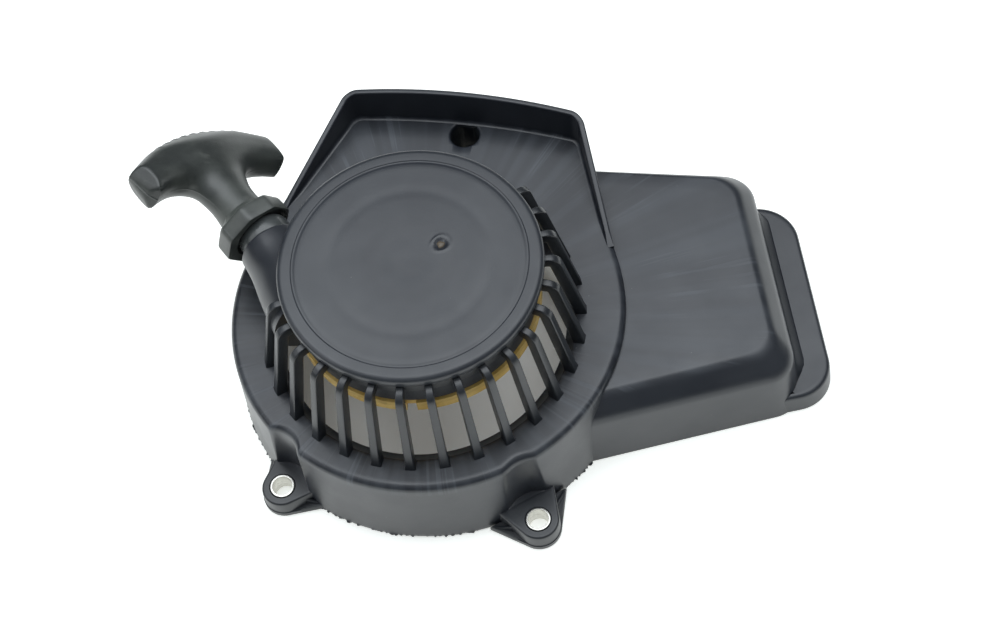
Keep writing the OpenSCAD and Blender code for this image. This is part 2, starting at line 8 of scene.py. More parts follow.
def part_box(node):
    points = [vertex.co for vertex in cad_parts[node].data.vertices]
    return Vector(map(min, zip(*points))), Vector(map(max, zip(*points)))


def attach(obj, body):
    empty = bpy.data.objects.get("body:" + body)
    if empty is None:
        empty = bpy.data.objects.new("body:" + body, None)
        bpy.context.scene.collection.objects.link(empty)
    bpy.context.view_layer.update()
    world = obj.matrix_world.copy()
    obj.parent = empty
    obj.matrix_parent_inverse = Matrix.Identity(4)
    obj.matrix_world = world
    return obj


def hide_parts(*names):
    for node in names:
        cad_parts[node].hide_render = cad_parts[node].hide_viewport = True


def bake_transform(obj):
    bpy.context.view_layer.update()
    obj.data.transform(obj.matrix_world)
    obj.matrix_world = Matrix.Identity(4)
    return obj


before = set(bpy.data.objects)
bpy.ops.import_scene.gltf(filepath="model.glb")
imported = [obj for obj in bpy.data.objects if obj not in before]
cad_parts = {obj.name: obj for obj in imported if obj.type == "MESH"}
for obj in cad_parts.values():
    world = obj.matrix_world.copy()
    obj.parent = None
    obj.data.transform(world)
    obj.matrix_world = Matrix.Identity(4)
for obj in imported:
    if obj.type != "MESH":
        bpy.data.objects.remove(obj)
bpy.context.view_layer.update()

mm = 0.001
tau = 2 * math.pi


# turning and placing, all in millimetres until a mesh is made
def unit(v):
    v = np.asarray(v, float)
    return v / np.linalg.norm(v, axis=-1, keepdims=True)


def turned(points, degrees):
    # points turned about Z
    c, s = math.cos(math.radians(degrees)), math.sin(math.radians(degrees))
    x, y, z = points[..., 0], points[..., 1], points[..., 2]
    return np.stack([x * c - y * s, x * s + y * c, z], -1)


def placed(points, origin, axes):
    # local x, y, z carried along the three axes from the origin
    return np.asarray(origin) + points @ np.asarray(axes)


def smoothStep(x, low, high):
    t = np.clip((x - low) / (high - low), 0, 1)
    return t * t * (3 - 2 * t)


def softMin(a, b, k):
    h = np.clip(0.5 + 0.5 * (b - a) / k, 0, 1)
    return b + (a - b) * h - k * h * (1 - h)


def softMax(a, b, k):
    return -softMin(-a, -b, k)


def corner(before, at, after, radius, count=6):
    # quadratic curve that rounds a profile's corner, radius being the length it takes off each side
    before, at, after = (np.asarray(p, float) for p in (before, at, after))
    first = at + (before - at) * min(0.48, radius / np.linalg.norm(before - at))
    last = at + (after - at) * min(0.48, radius / np.linalg.norm(after - at))
    t = np.linspace(0, 1, count)[:, None]
    return (1 - t) ** 2 * first + 2 * t * (1 - t) * at + t ** 2 * last


def roundedProfile(points, radii, closed=True, count=6):
    # every corner with a radius above 0 becomes a small curve
    points = [np.asarray(p, float) for p in points]
    n = len(points)
    out = []
    for i, radius in enumerate(radii):
        ends = not closed and i in (0, n - 1)
        if radius == 0 or ends:
            out.append(points[i][None])
        else:
            out.append(corner(points[i - 1], points[i], points[(i + 1) % n], radius, count))
    return np.concatenate(out)


def gridFaces(rows, columns, wrapRows, wrapColumns):
    i, j = np.meshgrid(np.arange(rows if wrapRows else rows - 1),
                       np.arange(columns if wrapColumns else columns - 1), indexing="ij")
    nextRow, nextColumn = (i + 1) % rows, (j + 1) % columns
    return np.stack([i * columns + j, i * columns + nextColumn,
                     nextRow * columns + nextColumn, nextRow * columns + j], -1).reshape(-1, 4)


def finishMesh(mesh, sharp, merge=1e-7):
    # doubles merged, so poles and seams close, then normals outwards and sharp edges by angle
    work = bmesh.new()
    work.from_mesh(mesh)
    bmesh.ops.remove_doubles(work, verts=work.verts, dist=merge)
    bmesh.ops.dissolve_degenerate(work, dist=merge, edges=work.edges)
    bmesh.ops.recalc_face_normals(work, faces=work.faces)
    work.to_mesh(mesh)
    work.free()
    mesh.shade_smooth()
    mesh.set_sharp_from_angle(angle=math.radians(sharp))


def addPiece(name, grids, body, stands=(), sharp=40, merge=1e-7):
    # grids: (points as rows x columns x 3 in mm, whether rows wrap, whether columns wrap)
    points, faces, start = [], [], 0
    for grid, wrapRows, wrapColumns in grids:
        rows, columns = grid.shape[:2]
        points.append(grid.reshape(-1, 3))
        faces.append(gridFaces(rows, columns, wrapRows, wrapColumns) + start)
        start += rows * columns
    mesh = bpy.data.meshes.new(name)
    mesh.from_pydata((np.concatenate(points) * mm).tolist(), [], np.concatenate(faces).tolist())
    finishMesh(mesh, sharp, merge)
    piece = bpy.data.objects.new(name, mesh)
    bpy.context.scene.collection.objects.link(piece)
    if body:
        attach(piece, body)
    if stands:
        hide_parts(*stands)
    print("piece", name, len(mesh.polygons), "faces")
    return piece


def applyModifiers(piece, sharp=40):
    bpy.context.view_layer.update()
    ready = piece.evaluated_get(bpy.context.evaluated_depsgraph_get())
    mesh = bpy.data.meshes.new_from_object(ready)
    piece.modifiers.clear()
    piece.data = mesh
    mesh.shade_smooth()
    mesh.set_sharp_from_angle(angle=math.radians(sharp))


def cut(piece, cutters, sharp=40):
    # exact difference with each cutter, which is then removed
    for cutter in cutters:
        step = piece.modifiers.new("cut", "BOOLEAN")
        step.operation, step.solver, step.object = "DIFFERENCE", "EXACT", cutter
    applyModifiers(piece, sharp)
    for cutter in cutters:
        bpy.data.objects.remove(cutter)


def revolved(profile, count=160, start=0.0, sweep=360.0):
    # profile (radius, z) turned about Z: point = (r cos a, r sin a, z); a full turn wraps
    full = sweep >= 360
    a = np.radians(start + np.linspace(0, sweep, count, endpoint=not full))[:, None]
    r, z = np.asarray(profile)[None, :, 0], np.asarray(profile)[None, :, 1]
    return np.stack([r * np.cos(a), r * np.sin(a), z + 0 * a], -1), full


def cappedSweep(rings):
    # a stack of closed rings, each end drawn in to its middle
    low, high = rings[:1].mean(1, keepdims=True), rings[-1:].mean(1, keepdims=True)
    return np.concatenate([np.broadcast_to(low, rings[:1].shape), rings,
                           np.broadcast_to(high, rings[-1:].shape)])


def tube(path, radius, sides=12):
    # ring k = path + radius (cos b u + sin b w), with u and w across the path's tangent
    tangent = unit(np.gradient(path, axis=0))
    side = np.where(np.abs(tangent[:, 2:]) < 0.9, [[0, 0, 1.0]], [[1.0, 0, 0]])
    u = unit(np.cross(tangent, side))
    w = np.cross(tangent, u)
    b = np.linspace(0, tau, sides, endpoint=False)[None, :, None]
    r = np.broadcast_to(np.asarray(radius, float).reshape(-1, 1, 1), (len(path), 1, 1))
    return path[:, None] + r * (np.cos(b) * u[:, None] + np.sin(b) * w[:, None])


# the object's own layout, as its drawing has it
layout = {
    "deckZ": 35.0, "wall": 2.5, "fanR": 68.5, "fanOffset": 5.4, "draft": 2.0, "mountTurn": 18.4,
    "openingR": 52.2, "openingSlope": 3.0, "capZ": 76.0, "capR": 44.2, "cupR": 41.2, "lipZ": 71.5,
    "backStart": 42.0, "backEnd": 176.0, "ropeZ": 58.5, "windR": 33.5, "pullAngle": 112.0,
    "nozzleEnd": 43.5, "mouth": 48.5, "gripTurn": 38.0, "gripLean": 12.0, "lugH": 8.0,
}
fanCentre = np.array([0, layout["fanOffset"]])
leftLug, rightLug, wellAt = np.array([-42.5, -56.0]), np.array([47.5, -56.0]), np.array([0, 78.2])


def mounted(points):
    # from the mounting frame, whose second axis runs up the visor, to the object's own
    return turned(points, -layout["mountTurn"])


pullTurn = math.radians(layout["pullAngle"] - 90)
pullX = np.array([math.cos(pullTurn), math.sin(pullTurn), 0])
pullDir = np.array([-math.sin(pullTurn), math.cos(pullTurn), 0])
ropeAxes = np.array([pullX, [0, 0, -1.0], pullDir])
ropeStart = -layout["windR"] * pullX + np.array([0, 0, layout["ropeZ"]])


def alongRope(points):
    return placed(points, ropeStart, ropeAxes)


def alongGrip(points):
    # leaned about Y, turned about Z, then set at the eyelet's mouth
    lean, turn = math.radians(-layout["gripLean"]), layout["gripTurn"]
    x, y, z = points[..., 0], points[..., 1], points[..., 2]
    leaned = np.stack([x * math.cos(lean) + z * math.sin(lean), y,
                       -x * math.sin(lean) + z * math.cos(lean)], -1)
    return alongRope(turned(leaned, turn) + np.array([0, 0, layout["mouth"]]))


# shader maths
class Wire:
    # a socket that arithmetic works on: each operation adds one Math node
    def __init__(self, graph, socket):
        self.graph, self.socket = graph, socket

    def maths(self, operation, *values):
        return self.graph.node("ShaderNodeMath", {"operation": operation},
                               {i: v for i, v in enumerate(values)})

    def __add__(self, other): return self.maths("ADD", self, other)
    def __radd__(self, other): return self.maths("ADD", other, self)
    def __sub__(self, other): return self.maths("SUBTRACT", self, other)
    def __rsub__(self, other): return self.maths("SUBTRACT", other, self)
    def __mul__(self, other): return self.maths("MULTIPLY", self, other)
    def __rmul__(self, other): return self.maths("MULTIPLY", other, self)
    def __truediv__(self, other): return self.maths("DIVIDE", self, other)
    def __pow__(self, other): return self.maths("POWER", self, other)


class Graph:
    # one material's node tree; place is the object's own coordinates, in metres
    def __init__(self, name):
        self.material = bpy.data.materials.new(name)
        self.material.use_nodes = True
        self.tree = self.material.node_tree
        self.tree.nodes.clear()
        coordinates = self.tree.nodes.new("ShaderNodeTexCoord")
        self.place = Wire(self, coordinates.outputs["Object"])
        self.uv = Wire(self, coordinates.outputs["UV"])

    def node(self, kind, settings=None, sockets=None, out=0):
        # any node: settings first, then the values or links of its sockets
        made = self.tree.nodes.new(kind)
        for key, value in (settings or {}).items():
            setattr(made, key, value)
        for key, value in (sockets or {}).items():
            if isinstance(value, Wire):
                self.tree.links.new(value.socket, made.inputs[key])
            else:
                made.inputs[key].default_value = value
        return Wire(self, made.outputs[out])

    def noise(self, vector, scale, detail=3.0, rough=0.55):
        return self.node("ShaderNodeTexNoise", {}, {"Vector": vector, "Scale": scale, "Detail": detail,
                                                    "Roughness": rough})

    def range(self, value, low, high, toLow=0.0, toHigh=1.0):
        return self.node("ShaderNodeMapRange", {"interpolation_type": "SMOOTHSTEP"},
                         {"Value": value, "From Min": low, "From Max": high,
                          "To Min": toLow, "To Max": toHigh})

    def mix(self, factor, a, b):
        made = self.tree.nodes.new("ShaderNodeMix")
        made.data_type = "RGBA"
        for socket, value in ((made.inputs[0], factor), (made.inputs[6], a), (made.inputs[7], b)):
            if isinstance(value, Wire):
                self.tree.links.new(value.socket, socket)
            else:
                socket.default_value = (*value, 1) if isinstance(value, tuple) else value
        return Wire(self, made.outputs[2])

    def vector(self, operation, *values, out=0):
        return self.node("ShaderNodeVectorMath", {"operation": operation},
                         {i: v for i, v in enumerate(values)}, out)

    def part(self, vector, axis):
        return self.node("ShaderNodeSeparateXYZ", {}, {0: vector}, axis)

    def bump(self, height, strength, distance):
        return self.node("ShaderNodeBump", {}, {"Height": height, "Strength": strength,
                                                "Distance": distance})

    def finish(self, changing, fixed=None):
        shader = self.tree.nodes.new("ShaderNodeBsdfPrincipled")
        for key, value in {**(fixed or {}), **changing}.items():
            if isinstance(value, Wire):
                self.tree.links.new(value.socket, shader.inputs[key])
            else:
                shader.inputs[key].default_value = value
        output = self.tree.nodes.new("ShaderNodeOutputMaterial")
        self.tree.links.new(shader.outputs[0], output.inputs["Surface"])
        return self.material


def specks(g, scale, size):
    # a few pale dust specks: the cells' small middles, in one cell out of many
    cells = g.node("ShaderNodeTexVoronoi", {}, {"Vector": g.place, "Scale": scale})
    pick = g.node("ShaderNodeTexVoronoi", {}, {"Vector": g.place, "Scale": scale}, 1)
    return g.range(cells, size, size * 0.5) * g.range(g.part(pick, 0), 0.9, 0.93)


plasticLook = {"dark": (0.0095, 0.0120, 0.0175), "light": (0.0640, 0.0730, 0.0850), "gloss": 0.62,
               "rough": (0.30, 0.40), "grain": 2600.0, "streak": 0.75, "streakTurns": 9.0}


def mouldedPlastic(name, look, streaks=True, rings=False):
    # glass-filled nylon: fine grain, cloudy gloss, faint flow lines running out from the middle
    g = Graph(name)
    flat = g.vector("MULTIPLY", g.place, (1, 1, 0))
    ray = g.vector("NORMALIZE", flat)
    cloud = g.noise(g.place, 22.0, 4.0)
    fine = g.noise(g.place, look["grain"], 2.0)
    tone = g.range(cloud, 0.3, 0.7)
    rough = g.range(g.noise(g.place, 60.0, 5.0), 0.25, 0.75, look["rough"][0], look["rough"][1])
    if streaks:
        # lines along rays: noise of the direction alone, on the deck's and the cover's flats only
        wave = g.vector("ADD", g.vector("MULTIPLY", ray, (look["streakTurns"],) * 3),
                        g.vector("MULTIPLY", g.place, (3.0, 3.0, 3.0)))
        bands = g.range(g.noise(wave, 1.1, 2.0, 0.5), 0.40, 0.66)
        lines = g.range(g.noise(wave, 3.1, 2.0, 0.5), 0.60, 0.66)
        hair = g.range(g.noise(wave, 8.0, 1.0, 0.5), 0.66, 0.70)
        reach = g.range(g.noise(g.place, 38.0, 1.0), 0.40, 0.58)
        height = g.part(g.place, 2)
        level = g.range(height, 0.0296, 0.0312) * g.range(height, 0.0366, 0.0361)
        flow = (bands * 0.42 + (lines * 0.62 + hair * 0.35) * reach) * level
        tone = tone * 0.14 + flow * look["streak"]
        rough = rough + flow * 0.10
    if rings:
        # faint turning marks and one darker ring about the middle
        radius = g.vector("LENGTH", flat, out=1)
        wobble = radius * 900.0 + cloud * 3.0
        turning = wobble.maths("SINE", wobble) * 0.5 + 0.5
        near = g.range(radius, 0.030, 0.006)
        away = radius + cloud * 0.004 - 0.0155
        dark = g.range(away.maths("ABSOLUTE", away), 0.0035, 0.0005)
        tone = tone * 0.7 + turning * near * 0.22 - dark * 0.30
        rough = rough + turning * near * 0.05 - dark * 0.04
    dust = specks(g, 260.0, 0.06)
    colour = g.mix(tone, look["dark"], look["light"])
    colour = g.mix(dust * 0.35, colour, (0.42, 0.42, 0.40))
    height = fine * 0.6 + g.noise(g.place, 500.0, 3.0) * 0.9
    return g.finish({"Base Color": colour, "Roughness": rough + dust * 0.25,
                     "Normal": g.bump(height, 0.25, 0.00006)}, {"Specular IOR Level": look["gloss"]})


def gripRubber():
    # black rubber: grey bloom in clouds, long scuffs, dust
    g = Graph("gripRubber")
    bloom = g.noise(g.place, 45.0, 5.0, 0.6)
    fine = g.noise(g.place, 1800.0, 3.0, 0.6)
    scuff = g.range(g.noise(g.vector("MULTIPLY", g.place, (1.0, 3.0, 1.0)), 160.0, 4.0), 0.6, 0.75)
    colour = g.mix(g.range(bloom, 0.3, 0.7), (0.020, 0.0235, 0.0225), (0.060, 0.067, 0.060))
    colour = g.mix(scuff * 0.35 + specks(g, 330.0, 0.07) * 0.3, colour, (0.085, 0.09, 0.08))
    rough = g.range(bloom, 0.3, 0.7, 0.33, 0.45) + scuff * 0.08
    return g.finish({"Base Color": colour, "Roughness": rough,
                     "Normal": g.bump(fine + bloom * 0.4, 0.4, 0.00009)}, {"Specular IOR Level": 0.68})


def workedSteel(name, dark, light, rough, around=False, stain=0.0):
    # steel: lines of the tool that made it, small stains, a little oil
    g = Graph(name)
    pull = (40.0, 40.0, 4200.0) if around else (2600.0, 90.0, 90.0)
    lines = g.noise(g.vector("MULTIPLY", g.place, pull), 1.0, 3.0)
    spots = g.range(g.noise(g.place, 420.0, 5.0, 0.65), 0.5, 0.72)
    tone = g.range(lines, 0.3, 0.7)
    colour = g.mix(tone, dark, light)
    colour = g.mix(spots * stain, colour, (0.16, 0.09, 0.045))
    return g.finish({"Base Color": colour, "Metallic": 1.0 - spots * stain * 0.6,
                     "Roughness": rough + tone * 0.12 + spots * 0.15,
                     "Normal": g.bump(lines * 0.6 + spots * 0.4, 0.2, 0.00004)})


def reelPlastic():
    # ochre nylon, cloudy, with grime, and painted shade that darkens the rim's top band
    g = Graph("reelPlastic")
    cloud = g.noise(g.place, 90.0, 5.0, 0.6)
    fine = g.noise(g.place, 1900.0, 3.0)
    height = g.part(g.place, 2)
    # painted shade: a band at the top of the rim, where shadow falls, is made darker
    paintedRimShade = g.range(height, 0.0536, 0.0546)
    grime = g.range(g.noise(g.place, 240.0, 5.0, 0.65), 0.48, 0.72)
    colour = g.mix(g.range(cloud, 0.3, 0.7), (0.62, 0.40, 0.095), (0.82, 0.58, 0.19))
    # one dark brown carries both the painted shade on the rim and the grime
    colour = g.mix(paintedRimShade * 0.18 + grime * 0.28, colour, (0.20, 0.115, 0.03))
    return g.finish({"Base Color": colour, "Roughness": g.range(cloud, 0.3, 0.7, 0.36, 0.5) + grime * 0.1,
                     "Normal": g.bump(fine + grime * 0.5, 0.3, 0.00006)})


def braidedCord(name):
    # off-white nylon braid: two families of diagonal strands, on the cord's own map
    g = Graph(name)
    along, around = g.part(g.uv, 0), g.part(g.uv, 1)
    strands, turns = 900.0, tau * 4
    first, second = along * strands + around * turns, along * strands - around * turns
    weave = g.range(first.maths("SINE", first) * second.maths("SINE", second), -0.6, 0.6)
    fuzz = g.noise(g.place, 2400.0, 3.0)
    grime = g.range(g.noise(g.place, 130.0, 4.0), 0.45, 0.75)
    colour = g.mix(weave, (0.36, 0.34, 0.30), (0.74, 0.72, 0.66))
    colour = g.mix(grime * 0.5, colour, (0.20, 0.185, 0.16))
    return g.finish({"Base Color": colour, "Roughness": g.range(fuzz, 0.3, 0.7, 0.68, 0.85),
                     "Normal": g.bump(weave + fuzz * 0.3, 0.6, 0.0002)}, {"Sheen Weight": 0.25})


shellLook = mouldedPlastic("housingPlastic", plasticLook)
capLook = mouldedPlastic("capPlastic", {**plasticLook, "dark": (0.013, 0.016, 0.022),
                                       "light": (0.031, 0.036, 0.043), "rough": (0.32, 0.41)},
                         streaks=False, rings=True)
ribLook = mouldedPlastic("ribPlastic", {**plasticLook, "dark": (0.0085, 0.0105, 0.0135),
                                       "light": (0.021, 0.025, 0.030), "rough": (0.28, 0.40)}, streaks=False)
rubberLook = gripRubber()
gateLook = mouldedPlastic("gatePlastic", {**plasticLook, "dark": (0.055, 0.042, 0.026),
                                          "light": (0.20, 0.15, 0.095), "rough": (0.45, 0.6)}, streaks=False)
lugLook = mouldedPlastic("lugPlastic", {**plasticLook, "dark": (0.0085, 0.0105, 0.0140),
                                        "light": (0.020, 0.024, 0.029), "rough": (0.30, 0.42)}, streaks=False)
collarLook = mouldedPlastic("collarPlastic", {**plasticLook, "dark": (0.040, 0.045, 0.046),
                                             "light": (0.07, 0.077, 0.076), "rough": (0.24, 0.34)}, streaks=False)
bushLook = workedSteel("bushSteel", (0.52, 0.51, 0.47), (0.78, 0.77, 0.72), 0.24, around=True, stain=0.08)
springLook = workedSteel("springSteel", (0.16, 0.17, 0.19), (0.34, 0.35, 0.37), 0.30, around=True, stain=0.25)
clutchLook = workedSteel("clutchSteel", (0.38, 0.37, 0.35), (0.60, 0.59, 0.56), 0.34, stain=0.3)
screwLook = workedSteel("screwZinc", (0.50, 0.50, 0.47), (0.72, 0.70, 0.62), 0.28, stain=0.15)
reelLook = reelPlastic()
cordLook = braidedCord("starterCord")
print("materials ready")


def dress(piece, material):
    piece.data.materials.clear()
    piece.data.materials.append(material)
    return piece


# the visor's plan; the shroud's wall follows it too
visorShape = {"half": 43.0, "back": 82.5, "bow": 3.2, "rise": 15.0, "start": 38.0, "wall": 2.2, "round": 6.0}


def arcAt(before, at, after, radius, count):
    # true arc of that radius in the corner
    u, w = unit(before - at), unit(after - at)
    half = math.acos(float(u @ w)) / 2
    centre = at + unit(u + w) * radius / math.sin(half)
    s = at + u * radius / math.tan(half) - centre
    e = at + w * radius / math.tan(half) - centre
    begin = math.atan2(s[1], s[0])
    sweep = math.atan2(s[0] * e[1] - s[1] * e[0], float(s @ e))
    a = begin + sweep * np.linspace(0, 1, count)
    return centre + radius * np.stack([np.cos(a), np.sin(a)], -1)


def visorPath(count=420):
    # from the right foot of the visor round its back to the left foot, evenly spaced
    v = visorShape
    back = np.array([v["half"], v["back"]])
    reach = np.linalg.norm(back - fanCentre)
    side = math.atan2(back[1] - fanCentre[1], back[0]) - math.acos(layout["fanR"] / reach)
    touch = fanCentre + (layout["fanR"] - 0.25) * np.array([math.cos(side), math.sin(side)])
    mirrored = back * [-1, 1]
    arc = arcAt(touch, back, mirrored, v["round"], 24)
    right = np.concatenate([np.linspace(touch, arc[0], 60, endpoint=False), arc])
    top = np.linspace(arc[-1], arc[-1] * [-1, 1], 120)[1:-1]
    whole = np.concatenate([right, top, right[::-1] * [-1, 1]])
    bowed = v["bow"] * np.clip(1 - (whole[:, 0] / v["half"]) ** 2, 0, 1)
    whole[:, 1] += bowed * smoothStep(whole[:, 1], v["back"] - v["round"] - 2, v["back"] - 1)
    length = np.concatenate([[0], np.cumsum(np.linalg.norm(np.diff(whole, axis=0), axis=1))])
    even = np.linspace(0, length[-1], count)
    return np.stack([np.interp(even, length, whole[:, k]) for k in (0, 1)], -1)


def rayReach(angles, points, centre):
    # distance from the centre to an open line of points, for each angle; 0 where it is missed
    d = np.stack([np.cos(angles), np.sin(angles)], -1)[:, None]
    a, b = points[:-1] - centre, points[1:] - centre
    e = b - a
    bottom = d[..., 0] * e[:, 1] - d[..., 1] * e[:, 0]
    safe = np.where(np.abs(bottom) < 1e-9, 1e-9, bottom)
    t = (a[:, 0] * e[:, 1] - a[:, 1] * e[:, 0]) / safe
    s = (a[:, 0] * d[..., 1] - a[:, 1] * d[..., 0]) / safe
    hit = (t > 0) & (s > -1e-6) & (s < 1 + 1e-6)
    return np.where(hit, t, 0).max(1)


# fan shroud: for each angle a about the fan's centre, a closed profile of (radius, z) rows;
# point = centre + radius (cos a, sin a)
shroudShape = {"angles": 1400, "round": 2.6, "scoopR": (9.2, 10.5), "scoopSoft": 1.3, "lip": 0.5, "flash": 0.55,
               "wallRows": (10, 13, 17, 21, 25, 28, 31), "insideRows": (24.0, 16.0, 8.3, 7.9)}


def circleReach(angles, centre, radius):
    # near crossing of the ray with a circle, far away where the ray passes it by
    d = np.stack([np.cos(angles), np.sin(angles)], -1)
    along = d @ centre
    inside = along ** 2 - centre @ centre + radius ** 2
    near = along - np.sqrt(np.clip(inside, 0, None))
    return np.where((inside > 0) & (along > 0), near, 200.0)


def buildShroud():
    plan, s = layout, shroudShape
    steps = []
    for world in (plan["backStart"], plan["backEnd"]):
        turn = math.radians(world + plan["mountTurn"])
        at = 46 * np.array([math.cos(turn), math.sin(turn)]) - fanCentre
        steps.append(math.atan2(at[1], at[0]))
    extra = np.concatenate([[a - 0.0004, a + 0.0004] for a in steps])
    angles = np.sort(np.concatenate([np.linspace(-math.pi, math.pi, s["angles"], endpoint=False), extra]))
    ray = np.stack([np.cos(angles), np.sin(angles)], -1)
    visor = rayReach(angles, visorPath(), fanCentre)
    inVisor = smoothStep(visor - plan["fanR"], 0.0, 1.6)
    scoops = np.minimum(circleReach(angles, leftLug - fanCentre, s["scoopR"][0]),
                        circleReach(angles, rightLug - fanCentre, s["scoopR"][1]))
    random = np.random.default_rng(4).normal(size=len(angles))
    ragged = np.convolve(np.concatenate([random[-3:], random, random[:3]]), np.ones(3) / 3, "same")[3:-3]

    def wallReach(z):
        straight = plan["fanR"] + plan["draft"] * (1 - z / plan["deckZ"])
        reach = softMax(np.full_like(angles, straight), visor, 0.8)
        if z > plan["lugH"]:
            reach = softMin(reach, scoops, s["scoopSoft"])
        return reach

    # opening's radius about the crank axis, seen from the fan's centre
    turn = np.degrees(np.arctan2(46 * ray[:, 1] + fanCentre[1], 46 * ray[:, 0])) - plan["mountTurn"]
    behind = ((turn % 360) > plan["backStart"]) & ((turn % 360) < plan["backEnd"])

    def openingReach(radius):
        along = ray @ -fanCentre
        return along + np.sqrt(along ** 2 + radius ** 2 - fanCentre @ fanCentre)

    opening = openingReach(np.where(behind, plan["cupR"] - 1.0, plan["openingR"]))
    narrow = openingReach(np.where(behind, plan["cupR"] - 1.0, plan["openingR"] - plan["openingSlope"]))
    edge = s["round"] * (1 - inVisor) + 0.06
    deck, under = plan["deckZ"], plan["deckZ"] - plan["wall"]
    rows = [(wallReach(0) - plan["wall"], np.zeros_like(angles))]
    rows.append((wallReach(0) + np.clip(ragged, -0.6, 1) * s["flash"], np.zeros_like(angles)))
    for z in (0.5, 2, 4, 6, plan["lugH"] - 0.05, plan["lugH"] + 0.05, *s["wallRows"]):
        rows.append((wallReach(z), np.full_like(angles, z)))
    top = wallReach(31.9)
    for a in np.radians(np.linspace(0, 90, 9)):
        rows.append((top - edge * (1 - math.cos(a)), deck - edge * (1 - math.sin(a))))
    flatStart, flatEnd = top - edge, opening + s["lip"]
    for t in np.linspace(0, 1, 12)[1:]:
        rows.append((flatStart + (flatEnd - flatStart) * t, np.full_like(angles, deck)))
    rows.append((opening + 0.12, np.full_like(angles, deck - 0.14)))
    rows.append((opening - 0.05, np.full_like(angles, deck - 0.5)))
    rows.append((narrow, np.full_like(angles, under)))
    inner = wallReach(under) - plan["wall"]
    for t in (0.33, 0.66, 1):
        rows.append((narrow + (inner - narrow) * t, np.full_like(angles, under)))
    for z in s["insideRows"]:
        rows.append((wallReach(z) - plan["wall"], np.full_like(angles, z)))
    radius = np.stack([r for r, z in rows])
    height = np.stack([z for r, z in rows])
    grid = np.stack([fanCentre[0] + radius * ray[:, 0], fanCentre[1] + radius * ray[:, 1], height], -1)
    shroud = addPiece("shroudShell", [(mounted(grid), True, True)], "housing", ["fan_shroud"])
    # the bolt well's mouth, a little flared at the deck
    well = np.array([[0, 20], [5.3, 20], [5.3, 34.3], [5.5, 34.75], [6.1, 35.05], [6.1, 38], [0, 38]])
    ring, full = revolved(well, 72)
    ring = ring + np.array([wellAt[0], wellAt[1], 0])
    cut(shroud, [addPiece("wellCutter", [(mounted(ring), full, False)], None)])
    return dress(shroud, shellLook)


def buildVisor():
    # visor rim: a section of (inset, z) carried along the plan; its top rises evenly to the back
    v, deck = visorShape, layout["deckZ"]
    path = visorPath(520)
    path = path[path[:, 1] >= v["start"]]
    tangent = unit(np.gradient(path, axis=0))
    inward = np.stack([-tangent[:, 1], tangent[:, 0]], -1)
    rise = v["rise"] * (path[:, 1] - v["start"]) / (v["back"] - v["start"]) + 0.03
    tip = np.minimum(0.7, rise * 0.45)
    fillet = np.minimum(1.3, rise * 0.4)
    top, rows = deck + rise, []
    rows.append((np.zeros_like(rise), np.full_like(rise, deck - 1.5)))
    rows.append((np.zeros_like(rise), deck + rise * 0.4))
    for a in np.radians(np.linspace(0, 90, 6)):
        rows.append((tip * (1 - math.cos(a)), top - tip * (1 - math.sin(a))))
    for a in np.radians(np.linspace(90, 0, 6)):
        rows.append((v["wall"] - tip * (1 - math.cos(a)), top - tip * (1 - math.sin(a))))
    for a in np.radians(np.linspace(0, 90, 6)):
        rows.append((v["wall"] + fillet * (1 - math.cos(a)), deck - 0.02 + fillet * (1 - math.sin(a))))
    rows.append((v["wall"] + fillet, np.full_like(rise, deck - 1.5)))
    offset, height = np.stack([o for o, z in rows]), np.stack([z for o, z in rows])
    x = path[:, 0] + offset * inward[:, 0]
    y = path[:, 1] + offset * inward[:, 1]
    rings = np.stack([x, y, height], -1).transpose(1, 0, 2)
    piece = addPiece("visorRim", [(mounted(cappedSweep(rings)), False, True)], "housing", ["visor"])
    return dress(piece, shellLook)


buildShroud()
buildVisor()


# side cover: rounded outlines stacked up a profile, hollow below
coverShape = {"reach": 125.5, "front": 41.0, "taper": 7.0, "back": 43.5, "top": 31.5, "shoulder": 24.0,
              "shoulderFront": 6.5, "shoulderSide": 6.5, "shoulderBack": 3.5, "draft": 2.5, "round": 10.5,
              "wall": 2.4, "cove": 5.5}
shelfShape = {"reach": 13.0, "top": 9.0, "radii": (1.5, 13.5, 14.5, 1.5), "edge": 1.8}


def roundedRing(corners, radii, perArc=14, perSide=26):
    # closed outline: each corner a true arc, the straights between them evenly divided
    corners = np.asarray(corners, float)
    n = len(corners)
    arcs = [arcAt(corners[i - 1], corners[i], corners[(i + 1) % n], radii[i], perArc) for i in range(n)]
    out = []
    for i in range(n):
        out += [arcs[i], np.linspace(arcs[i][-1], arcs[(i + 1) % n][0], perSide + 2)[1:-1]]
    return np.concatenate(out)


def coverRing(draft, shoulder, z, inset=0.0):
    # the cover's outline moved in by shares of its draft and of its shoulder
    c = coverShape
    front = draft * c["draft"] + shoulder * c["shoulderFront"] + inset
    side = draft * c["draft"] + shoulder * c["shoulderSide"] + inset
    back = draft * 1.0 + shoulder * c["shoulderBack"] + inset
    ring = roundedRing([[44, -c["front"] - c["taper"] * 0.85 + front], [c["reach"] - side, -c["front"] + front],
                        [c["reach"] - side, c["back"] - back], [52, c["back"] + 17 - back]],
                       [3, c["round"], c["round"], 6])
    return np.concatenate([ring, np.full((len(ring), 1), z)], 1)


def closedShell(outer, inner, middle):
    # from the inner roof's middle down the inside, under the rim and up the outside to the roof's middle
    def roof(ring):
        centre = np.array([middle[0], middle[1], ring[0, 2]])
        return np.stack([centre + (ring - centre) * k for k in (0.88, 0.7, 0.5, 0.3, 0.12, 0.0)])
    return np.concatenate([roof(inner[-1])[::-1], inner[::-1], outer, roof(outer[-1])])


